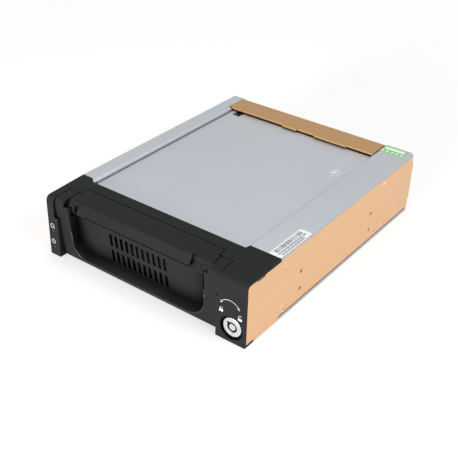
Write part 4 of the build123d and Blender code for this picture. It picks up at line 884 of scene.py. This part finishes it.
@dataclass
class Fasteners(Job):
    """Screws with cross recesses, and rivets with a dimple."""

    recess_depth: float = 0.9
    recess_width: float = 0.62
    recess_reach: float = 0.62
    recess_draft: float = 0.7
    rim: float = 0.2
    head_depth: float = 0.75
    neck: float = 0.05
    point: float = 0.5
    first_turn: float = 0.4
    next_turn: float = 0.7
    rivet_bevel: Point = (0.3, -0.02)
    rivet_head: float = 1.1
    rivet_tail: Point = (1.4, -1.15)
    rivet_dimple: ClassVar[Outline] = [(0, -0.55), (0.7, -0.5), (0.85, -0.05), (1.3, 0.0)]
    groups: ClassVar[tuple[Screws, ...]] = (
        Screws("side_screws", Body.CAGE, Finishes.gold_zinc, (1, 0, 0), 2.55),
        Screws("base_screws", Body.CAGE, Finishes.zinc, (0, 0, -1), 1.4),
        Screws("fan_screws", Body.CAGE, Finishes.zinc, (0, 1, 0), 2.4),
        Screws("board_screws", Body.TRAY, Finishes.zinc, (0, 1, 0), 2.2, 1.2),
        Screws("tray_screws", Body.TRAY, Finishes.zinc, (1, 0, 0), 1.4),
        Screws("backplane_screws", Body.CAGE, Finishes.zinc, (0, -1, 0), 2.6),
    )

    def build(self) -> None:
        """Makes each group of screws in place of its plain node, and the rivets."""
        for kind in self.groups:
            mesh = bmesh.new()
            for i, (low, high) in enumerate(self.workshop.solids(kind.node)):
                place, length = self._axis(Vector(kind.out), low, high)
                turned = place @ Matrix.Rotation(self.first_turn + self.next_turn * i, 4, "Z")
                self._screw(mesh, turned, kind, length)
            tag = Tag(kind.node + "_cut", kind.body, Slot.SCREW, kind.finish, (kind.node,))
            self.workshop.adopt(mesh, tag)
        self._rivets()

    def _axis(self, out: Vector, low: Vector, high: Vector) -> tuple[Matrix, float]:
        """Finds a fastener's place and length.

        Args:
            out: Direction its head faces. For X it is turned outward.
            low: Lowest corner of its solid.
            high: Highest corner of its solid.

        Returns:
            A matrix that takes +Z to the head's direction, at the head's face, and the length.
        """
        middle = (low + high) / 2
        way = out * (-1 if out.x and middle.x < 0 else 1)
        length = abs((high - low).dot(way))
        return Frame.axis(middle + way * length / 2, way), length

    def _screw(self, mesh: BMesh, place: Matrix, kind: Screws, length: float) -> None:
        """Adds a screw: a head round a cross recess, and its shank.

        Args:
            mesh: The mesh to add to.
            place: The head's face, with +Z outward.
            kind: The group that it is in.
            length: Length from face to point.
        """
        head, shank, under = kind.head, kind.shank, self.head_depth
        reach, half = head * self.recess_reach, self.recess_width * head / 4
        arm = [(reach, half), (half, half), (half, reach)]
        arm += [(-x, y) for x, y in arm[::-1]]
        cross = arm + [(-x, -y) for x, y in arm]
        inner = head - self.rim
        edge = [(x / math.hypot(x, y) * inner, y / math.hypot(x, y) * inner) for x, y in cross]
        draft = self.recess_draft
        rows = [[Vector((x * draft, y * draft, -self.recess_depth)) for x, y in cross]]
        rows.append([Vector((x, y, 0)) for x, y in cross])
        under_neck = -under - max(self.neck, (head - shank) * 0.5)
        levels = [(inner, 0.0), (head, -self.rim), (head, -under), (shank, under_neck)]
        levels += [(shank, self.point - length), (shank * 0.5, -length)]
        for radius, height in levels:
            scale = radius / inner
            rows.append([Vector((x * scale, y * scale, height)) for x, y in edge])
        corners = [[mesh.verts.new(place @ point) for point in row] for row in rows]
        for lower, upper in zip(corners, corners[1:]):
            Workshop.band(mesh, lower, upper)
        mesh.faces.new(corners[0])
        mesh.faces.new(corners[-1])

    def _rivets(self) -> None:
        """Makes the flush rivets with their drawn-in middles."""
        mesh = bmesh.new()
        for low, high in self.workshop.solids("side_rivets"):
            place, length = self._axis(Vector((1, 0, 0)), low, high)
            radius, (bevel, drop) = (high.z - low.z) / 2, self.rivet_bevel
            head = [(radius - bevel, drop), (radius, -self.rim), (radius, -self.rivet_head)]
            tail = [self.rivet_tail, (self.rivet_tail[0], -length), (0, -length)]
            Workshop.lathe(mesh, self.rivet_dimple + head + tail, place)
        tag = Tag("side_rivets_cut", Body.CAGE, Slot.SCREW, Finishes.gold_zinc, ("side_rivets",))
        self.workshop.adopt(mesh, tag)


@dataclass
class Print(Job):
    """Marks printed on the bezel's front."""

    ink: float = 0.06

    def _print(self, outlines: Iterable[Outline], name: str) -> None:
        """Makes one thin piece of several outlines."""
        place = Frame.plane(Facing.FRONT, Frame.box("front_bezel")[0].y)
        self.workshop.lay(outlines, place, self.ink, Tag(name, Body.CAGE, Slot.BLACK, Finishes.ink))


@dataclass
class LockMarks(Print):
    """The printed double arrow and padlock signs over the lock."""

    line: float = 0.36
    arc_radius: float = 7.3
    arc_rise: float = 10.2
    arc_shift: float = -1.3
    arc_start: float = 152
    arc_end: float = 27
    arc_cut: float = 8
    head: float = 2.0
    lean: float = 0.12
    shut: Point = (-5.6, -1.4)
    freed: Point = (6.7, -2.2)
    half: float = 1.3
    high: float = 0.75
    corner: float = 0.3
    shackle: float = 0.34
    bow: float = 0.8
    neck: float = 0.55
    opened: float = 0.5

    def build(self) -> None:
        """Prints the arrow and the two signs on the lock panel."""
        low, high = Frame.box("lock_barrel")
        x = (low.x + high.x) / 2 + self.arc_shift
        z = (low.z + high.z) / 2 + self.arc_rise
        start, end = self.arc_start - self.arc_cut, self.arc_end + self.arc_cut
        bend = Shapes.arc(x, z, self.arc_radius, start, end)
        outlines = [Shapes.stroke(bend, self.line)]
        for angle, turn in ((self.arc_start, 90), (self.arc_end, -90)):
            tip = Shapes.arc(x, z, self.arc_radius, angle, angle, 1)[0]
            heading = angle + turn - turn * self.lean
            outlines.append(Shapes.arrow_head(tip, heading, self.head, self.head * 0.8))
        outlines += self._padlock(x + self.shut[0], z + self.shut[1], 0.0)
        outlines += self._padlock(x + self.freed[0], z + self.freed[1], self.opened)
        self._print(outlines, "lock_marks")

    def _padlock(self, x: float, z: float, lift: float) -> list[Outline]:
        """A small padlock sign.

        Args:
            x: Middle of its body.
            z: Middle of its body.
            lift: How far its shackle stands open.

        Returns:
            Its outlines.
        """
        foot = z + self.high
        body = Shapes.rounded((x - self.half, x + self.half, z - self.high, foot), self.corner)
        bow = Shapes.arc(x, foot + self.neck + lift, self.bow, 180, 0, 12)
        shackle = [(x - self.bow, foot)] + bow
        if not lift:
            shackle.append((x + self.bow, foot))
        return [body, Shapes.stroke(shackle, self.shackle)]


@dataclass
class LampMarks(Print):
    """The printed signs beside the two lamp holes."""

    rise: float = 4.3
    radius: float = 1.35
    line: float = 0.42
    opening: float = 40
    start: float = 90
    round: float = 359
    stem: Point = (0.3, 0.6)
    leg: Point = (0.6, 1.3)

    def build(self) -> None:
        """Prints an open ring with a stem at the lower lamp, and one with a leg at the other."""
        outlines = []
        for (low, high), gap in zip(self.workshop.solids("light_pipes"), (self.opening, 0)):
            x, z, r = (low.x + high.x) / 2, (low.z + high.z) / 2 + self.rise, self.radius
            ring = Shapes.arc(x, z, r, self.start + gap, self.start + self.round - gap, 36)
            stem = [(x, z + self.stem[0]), (x, z + r + self.stem[1])]
            leg = [(x + r * share, z - r * share) for share in self.leg]
            outlines += [Shapes.stroke(line, self.line) for line in (ring, stem if gap else leg)]
        self._print(outlines, "lamp_marks")


@dataclass
class Labels(Job):
    """The plain bar label and the green seal label on the right strip."""

    paper: float = 0.1
    print_rise: float = 0.13
    seed: int = 7
    bar_size: Point = (8.1, 31.15)
    bar_gap: Point = (0.5, 0.15)
    bar_corner: float = 0.8
    bar_span: Point = (1.0, 3.9)
    bar_start: float = 3.0
    bar_end: float = 3.4
    widths: tuple[float, ...] = (0.3, 0.3, 0.5, 0.8)
    gaps: tuple[float, ...] = (0.35, 0.5, 0.65)
    dash_rows: Point = (4.6, 6.3)
    dash_start: float = 2.2
    dash_width: float = 1.1
    dash_gap: float = 0.55
    dashes: tuple[float, ...] = (0.6, 0.9, 1.3)
    seal_size: Point = (16.5, 9.8)
    seal_gap: Point = (0.7, 1.2)
    seal_corner: float = 1.0
    stripe_inset: float = 1.2
    stripe_span: Point = (4.4, 1.4)
    dot_pitch: float = 3.4
    dot_rise: float = 2.6
    dot_radius: float = 0.95

    def build(self) -> None:
        """Sticks both labels on the right strip's top."""
        low, high = Frame.box("right_channel")
        place = Frame.plane(Facing.TOP, high.z)
        x1, y0 = high.x - self.bar_gap[0], low.y + self.bar_gap[1]
        self._bar_label(place, (x1 - self.bar_size[0], x1, y0, y0 + self.bar_size[1]))
        x0, y1 = low.x + self.seal_gap[0], high.y - self.seal_gap[1]
        self._seal(place, (x0, x0 + self.seal_size[0], y1 - self.seal_size[1], y1))

    def _stick(self, outlines: Iterable[Outline], place: Matrix, thickness: float, name: str,
               finish: Finish) -> None:
        """Makes one thin piece of several outlines on the strip."""
        self.workshop.lay(outlines, place, thickness, Tag(name, Body.CAGE, Slot.SILVER, finish))

    def _bar_label(self, place: Matrix, sides: Rect) -> None:
        """The white label with a row of plain bars and two rows of dashes.

        Args:
            place: Places outlines on the strip.
            sides: Its left, right, front and rear sides.
        """
        label = Shapes.rounded(sides, self.bar_corner)
        self._stick([label], place, self.paper, "bar_label", Finishes.paper)
        x0, _, y0, y1 = sides
        chance = random.Random(self.seed)
        marks = []
        y = y0 + self.bar_start
        while y < y1 - self.bar_end:
            width = chance.choice(self.widths)
            marks.append(Shapes.box(x0 + self.bar_span[0], x0 + self.bar_span[1], y, y + width))
            y += width + chance.choice(self.gaps)
        for row, across in enumerate(self.dash_rows):
            y = y0 + self.dash_start + row
            while y < y1 - self.bar_end - row * 3:
                length = chance.choice(self.dashes)
                marks.append(Shapes.box(x0 + across, x0 + across + self.dash_width, y, y + length))
                y += length + self.dash_gap
        self._stick(marks, place, self.print_rise, "bar_label_print", Finishes.print_grey)

    def _seal(self, place: Matrix, sides: Rect) -> None:
        """The green label with a white stripe and a row of plain dots.

        Args:
            place: Places outlines on the strip.
            sides: Its left, right, front and rear sides.
        """
        label = Shapes.rounded(sides, self.seal_corner)
        self._stick([label], place, self.paper, "seal_label", Finishes.green)
        x0, x1, y0, y1 = sides
        span, inset = self.stripe_span, self.stripe_inset
        stripe = Shapes.box(x0 + inset, x1 - inset, y1 - span[0], y1 - span[1])
        middles = [(x0 + x1) / 2 + i * self.dot_pitch for i in range(-2, 3)]
        dots = [Shapes.disc(x, y0 + self.dot_rise, self.dot_radius) for x in middles]
        self._stick([stripe] + dots, place, self.print_rise, "seal_label_print", Finishes.paper)


@dataclass
class CoverMarks(Job):
    """The pressed slide arrow near the cover's right rear."""

    rise: float = 0.16
    line: float = 0.7
    back: float = 32.5
    inset: float = 6.8
    wing: float = 3.0
    shaft: Point = (8.0, 1.2)
    steps: Point = (0.0, 3.2)

    def build(self) -> None:
        """Raises a shaft and two chevrons that show which way the cover slides."""
        _, high = Frame.box("tray_cover")
        x, y, half = high.x - self.inset, high.y - self.back, self.line / 2
        outlines = [Shapes.box(x - half, x + half, y - self.shaft[0], y - self.shaft[1])]
        for step in self.steps:
            foot = y - self.wing + step
            chevron = [(x - self.wing, foot), (x, y + step), (x + self.wing, foot)]
            outlines.append(Shapes.stroke(chevron, self.line))
        tag = Tag("cover_arrow", Body.COVER, Slot.SILVER, Finishes.pressed)
        self.workshop.lay(outlines, Frame.plane(Facing.TOP, high.z), self.rise, tag)


@dataclass
class Gasket(Job):
    """The foam strip under the crosspiece's front edge, and the foam ring on the fan's front."""

    depth: float = 17.8
    back: float = 0.3
    width: float = 1.6
    drop: float = 1.2
    gap: float = 0.25
    crown: float = 0.35
    inset: float = 0.2
    ring: float = 0.35
    lip: float = 2.9

    def build(self) -> None:
        """Lays the strip and the ring."""
        self._strip()
        self._ring()

    def _ring(self) -> None:
        """Lays a flat ring round the fan's mouth."""
        low, high = Frame.box("fan_frame")
        middle = (low + high) / 2
        middle.y = low.y
        outer = (high.x - low.x) / 2 - self.back
        inner = outer - self.lip + self.back
        profile = [(inner, 0.0), (outer, 0.0), (outer, self.ring), (inner, self.ring), (inner, 0.0)]
        mesh = bmesh.new()
        Workshop.lathe(mesh, profile, Frame.axis(middle, Vector((0, -1, 0))), 48)
        self.workshop.adopt(mesh, Tag("fan_seal", Body.CAGE, Slot.BLACK, Finishes.foam))

    def _strip(self) -> None:
        """Lays a D-shaped strip over the cover's rear edge, the whole width of the crosspiece."""
        _, top = Frame.box("rear_panel")
        inner, cover_top = Frame.box("tray_cover")
        y = top.y - self.depth + self.back
        end = y + self.width
        ceiling, floor = top.z - self.drop, cover_top.z + self.gap
        profile = [(y, ceiling), (y, floor + self.crown), (y + self.crown, floor)]
        profile += [(end - self.crown, floor), (end, floor + self.crown), (end, ceiling)]
        x0, x1 = inner.x + self.inset, cover_top.x - self.inset
        place = TO_METRES @ Matrix(((0, 0, 1, x0), (1, 0, 0, 0), (0, 1, 0, 0), (0, 0, 0, 1)))
        tag = Tag("edge_gasket", Body.CAGE, Slot.BLACK, Finishes.foam)
        self.workshop.lay([profile], place, x1 - x0, tag)


@dataclass
class RecessBead(Job):
    """The thin raised bead along the finger recess's rim."""

    half: float = 0.4
    proud: float = 0.32
    sink: float = 0.1
    foot: float = 1.2
    lip: float = 3.6
    top: float = 22.0
    steps: int = 8
    flat: float = 0.985
    turned: float = 0.93

    def build(self) -> None:
        """Sweeps a low round profile along the rim of the tray front's recess."""
        source = self.workshop.welded("tray_front")
        rim = self._rim(source)
        source.free()
        mesh = bmesh.new()
        self._sweep(mesh, rim)
        for face in mesh.faces:
            face.smooth = True
        self.workshop.adopt(mesh, Tag("recess_bead", Body.TRAY, Slot.BLACK, Finishes.black_bead))

    def _sharp(self, edge: BMEdge) -> bool:
        """Whether an edge bounds the front face."""
        fronts = [-face.normal.y for face in edge.link_faces]
        return len(fronts) == 2 and max(fronts) > self.flat and min(fronts) < self.turned

    def _rim(self, source: BMesh) -> list[Vector]:
        """Walks the recess's edge from its left end, round the foot, to its right end.

        Args:
            source: The tray front's mesh.

        Returns:
            Points in millimetres.
        """
        sharp = {edge for edge in source.edges if self._sharp(edge)}
        low = [edge for edge in source.edges if edge in sharp
               and all(self.foot < vertex.co.z / MM < self.lip for vertex in edge.verts)]
        foot = max(low, key=lambda edge: edge.calc_length())
        ends = sorted(foot.verts, key=lambda vertex: vertex.co.x)
        left, right = (self._walk(end, foot, sharp) for end in ends)
        return left[::-1] + right

    def _walk(self, vertex: BMVert, edge: BMEdge,
              allowed: set[BMEdge]) -> list[Vector]:
        """Follows the rim upwards from one end of its foot.

        Args:
            vertex: Where it starts.
            edge: The edge that it comes from.
            allowed: Edges of the rim.

        Returns:
            Points in millimetres, from the foot to the top.
        """
        points = [vertex.co / MM]
        while True:
            near = [e for e in vertex.link_edges if e in allowed and e is not edge]
            if not near:
                return points
            edge = near[0]
            vertex = edge.other_vert(vertex)
            point = vertex.co / MM
            if point.z > self.top:
                share = (self.top - points[-1].z) / (point.z - points[-1].z)
                return points + [points[-1].lerp(point, share)]
            points.append(point)

    def _sweep(self, mesh: BMesh, rim: Sequence[Vector]) -> None:
        """Adds the swept profile to a mesh.

        Args:
            mesh: The mesh to add to.
            rim: Points of the rim in millimetres.
        """
        out = Vector((0.0, -1.0, 0.0))
        angles = [math.pi * k / self.steps for k in range(self.steps + 1)]
        profile = [(math.cos(a) * self.half, math.sin(a) * self.proud - self.sink) for a in angles]
        rings = []
        for i, point in enumerate(rim):
            along = (rim[min(i + 1, len(rim) - 1)] - rim[max(i - 1, 0)]).normalized()
            side = along.cross(out).normalized()
            face = side.cross(along)
            middle = point + side * self.half
            places = (middle + side * across + face * up for across, up in profile)
            rings.append([mesh.verts.new(place * MM) for place in places])
        for first, second in zip(rings, rings[1:]):
            Workshop.band(mesh, first, second)
        mesh.faces.new(rings[0])
        mesh.faces.new(rings[-1][::-1])


@dataclass(frozen=True)
class Row:
    """Contact strips on a node's tongue, at a lift over its middle or else a rise over its foot."""

    node: str
    body: Body
    name: str
    half: float
    length: float
    lift: float | None = None
    rise: float = 0.0
    rear: bool = True
    key: float | None = None


@dataclass
class Contacts(Job):
    """Gold contact strips on the plug, the receptacle and the data socket."""

    thickness: float = 0.08
    pitch: float = 1.27
    half: float = 0.38
    key_half: float = 1.4
    rear_gap: float = 1.3
    front_gap: float = 0.5
    rows: ClassVar[tuple[Row, ...]] = (
        Row("tray_plug", Body.TRAY, "tray_plug_contacts", 15.0, 2.6, lift=0.7),
        Row("drive_connector", Body.TRAY, "receptacle_contacts", 16.6, 2.0, lift=0.6, rear=False,
            key=13.0),
        Row("data_socket", Body.CAGE, "data_contacts", 4.6, 4.0, rise=3.6),
    )

    def build(self) -> None:
        """Lays strips along each tongue and leaves its key's notch free."""
        for row in self.rows:
            low, high = Frame.box(row.node)
            x = (low.x + high.x) / 2
            z = low.z + row.rise if row.lift is None else (low.z + high.z) / 2 + row.lift
            end = high.y - self.rear_gap if row.rear else low.y + self.front_gap + row.length
            count = int(2 * row.half / self.pitch)
            middles = [x + (i - (count - 1) / 2) * self.pitch for i in range(count)]
            if row.key is not None:
                key = low.x + row.key
                middles = [middle for middle in middles if abs(middle - key) >= self.key_half]
            strips = [Shapes.box(middle - self.half, middle + self.half, end - row.length, end)
                      for middle in middles]
            tag = Tag(row.name, row.body, Slot.BRASS, Finishes.contact)
            self.workshop.lay(strips, Frame.plane(Facing.TOP, z), self.thickness, tag)


@dataclass
class Studio:
    """Pale floor, white surround and soft lamps."""

    centre: Vector = field(default_factory=lambda: Vector((0.0, 0.0, 0.02)))
    ambient: float = 0.3
    floor_side: float = 6.0
    floor_drop: float = 0.0001
    floor_colour: float = 0.55
    floor_glow: float = 0.51
    near: float = 0.32
    far: float = 0.6
    lamps: ClassVar[tuple[tuple[str, tuple[float, float, float], float, float], ...]] = (
        ("overhead", (-0.15, 0.25, 1.1), 0.9, 0.35),
        ("key", (1.1, -0.05, 0.75), 0.85, 0.54),
        ("front_fill", (0.02, -1.2, 0.17), 0.3, 1.6),
    )

    def build(self) -> None:
        """Makes the world, the floor and the lamps."""
        bpy.context.scene.view_settings.view_transform = "Standard"
        self._world()
        self._floor()
        for name, place, size, level in self.lamps:
            self._lamp(name, Vector(place), size, level)

    def _world(self) -> None:
        """Surrounds the object with white for the eye and a softer light for its surfaces."""
        world = bpy.data.worlds.new("surround")
        world.use_nodes = True
        tree = Tree(world.node_tree)
        soft, white = (tree.node("ShaderNodeBackground", None, {"Color": WHITE, "Strength": level})
                       for level in (self.ambient, 1.0))
        tree.node("ShaderNodeOutputWorld", None, {0: tree.mix(tree.seen(), soft, white).outputs[0]})
        bpy.context.scene.world = world

    def _floor(self) -> None:
        """Lays a pale floor that keeps the object's shadow and fades to white away from it."""
        mesh = bmesh.new()
        bmesh.ops.create_grid(mesh, x_segments=2, y_segments=2, size=self.floor_side)
        data = bpy.data.meshes.new("floor")
        mesh.to_mesh(data)
        mesh.free()
        floor = bpy.data.objects.new("floor", data)
        floor.location.z = -self.floor_drop
        bpy.context.scene.collection.objects.link(floor)
        data.materials.append(self._floor_material())

    def _floor_material(self) -> Material:
        """A grey surface under a glow for the eye, which gives way to plain white with distance.

        Returns:
            The material.
        """
        graph = Graph("studio_floor")
        graph.set(Base_Color=(self.floor_colour,) * 3, Roughness=0.9, Specular_IOR_Level=0.0)
        seen = graph.seen()
        levels = (0.0, self.floor_glow, 1.0)
        dark, glow, white = (
            graph.node("ShaderNodeEmission", None, {"Color": WHITE, "Strength": level})
            for level in levels)
        both = {0: graph.shader.outputs[0], 1: graph.mix(seen, dark, glow).outputs[0]}
        lit = graph.node("ShaderNodeAddShader", None, both)
        length, point = {"operation": "LENGTH"}, {0: graph.place()}
        distance = graph.value("ShaderNodeVectorMath", length, point, "Value")
        away = (distance - self.near) * (1.0 / (self.far - self.near))
        faded = graph.mix(away.held() * seen, lit, white)
        graph.fill(graph.output.inputs["Surface"], faded.outputs[0])
        return graph.material

    def _lamp(self, name: str, place: Vector, size: float, level: float) -> None:
        """Adds a square soft lamp that faces the object.

        Args:
            name: The lamp's name.
            place: Where it hangs, in metres.
            size: Its side, in metres.
            level: Light that it gives a surface facing it, where 1 renders a colour as written.
        """
        data = bpy.data.lights.new(name, "AREA")
        data.shape = "SQUARE"
        data.size = size
        away = place - self.centre
        data.energy = level * math.pi ** 2 * away.length_squared
        lamp = bpy.data.objects.new(name, data)
        lamp.location = place
        lamp.rotation_mode = "QUATERNION"
        lamp.rotation_quaternion = away.to_track_quat("Z", "Y")
        bpy.context.scene.collection.objects.link(lamp)


@dataclass(frozen=True)
class Viewpoint:
    """The photograph's camera, in the frame's metres."""

    place: tuple[float, float, float] = (0.2718, -0.3854, 0.2976)
    right: tuple[float, float, float] = (0.8002, 0.5992, 0.0256)
    up: tuple[float, float, float] = (-0.3373, 0.4144, 0.8453)
    focal: float = 68.0
    sensor: float = 36.0

    def build(self) -> None:
        """Makes the camera and gives it to the scene."""
        data = bpy.data.cameras.new("photo_camera")
        data.lens = self.focal
        data.sensor_width = self.sensor
        data.clip_start, data.clip_end = 0.01, 50.0
        right, up = Vector(self.right), Vector(self.up)
        axes = Matrix((right, up, right.cross(up))).transposed().to_4x4()
        camera = bpy.data.objects.new("photo_camera", data)
        camera.matrix_world = Matrix.Translation(self.place) @ axes
        bpy.context.scene.collection.objects.link(camera)
        bpy.context.scene.camera = camera


def main() -> None:
    """Builds the classes in order."""
    logging.basicConfig(level=logging.INFO, format="%(name)s: %(message)s")
    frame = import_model()
    workshop = Workshop(frame["nodes"])
    Viewpoint().build()
    Studio().build()
    jobs = (SheetMetal, Mouldings, Fasteners, LockMarks, LampMarks, Labels, CoverMarks, Gasket,
            RecessBead, Contacts)
    for job in jobs:
        job(workshop).build()
    LOG.info("%d pieces of the scene's own", len(workshop.made))


if __name__ == "__main__":
    main()
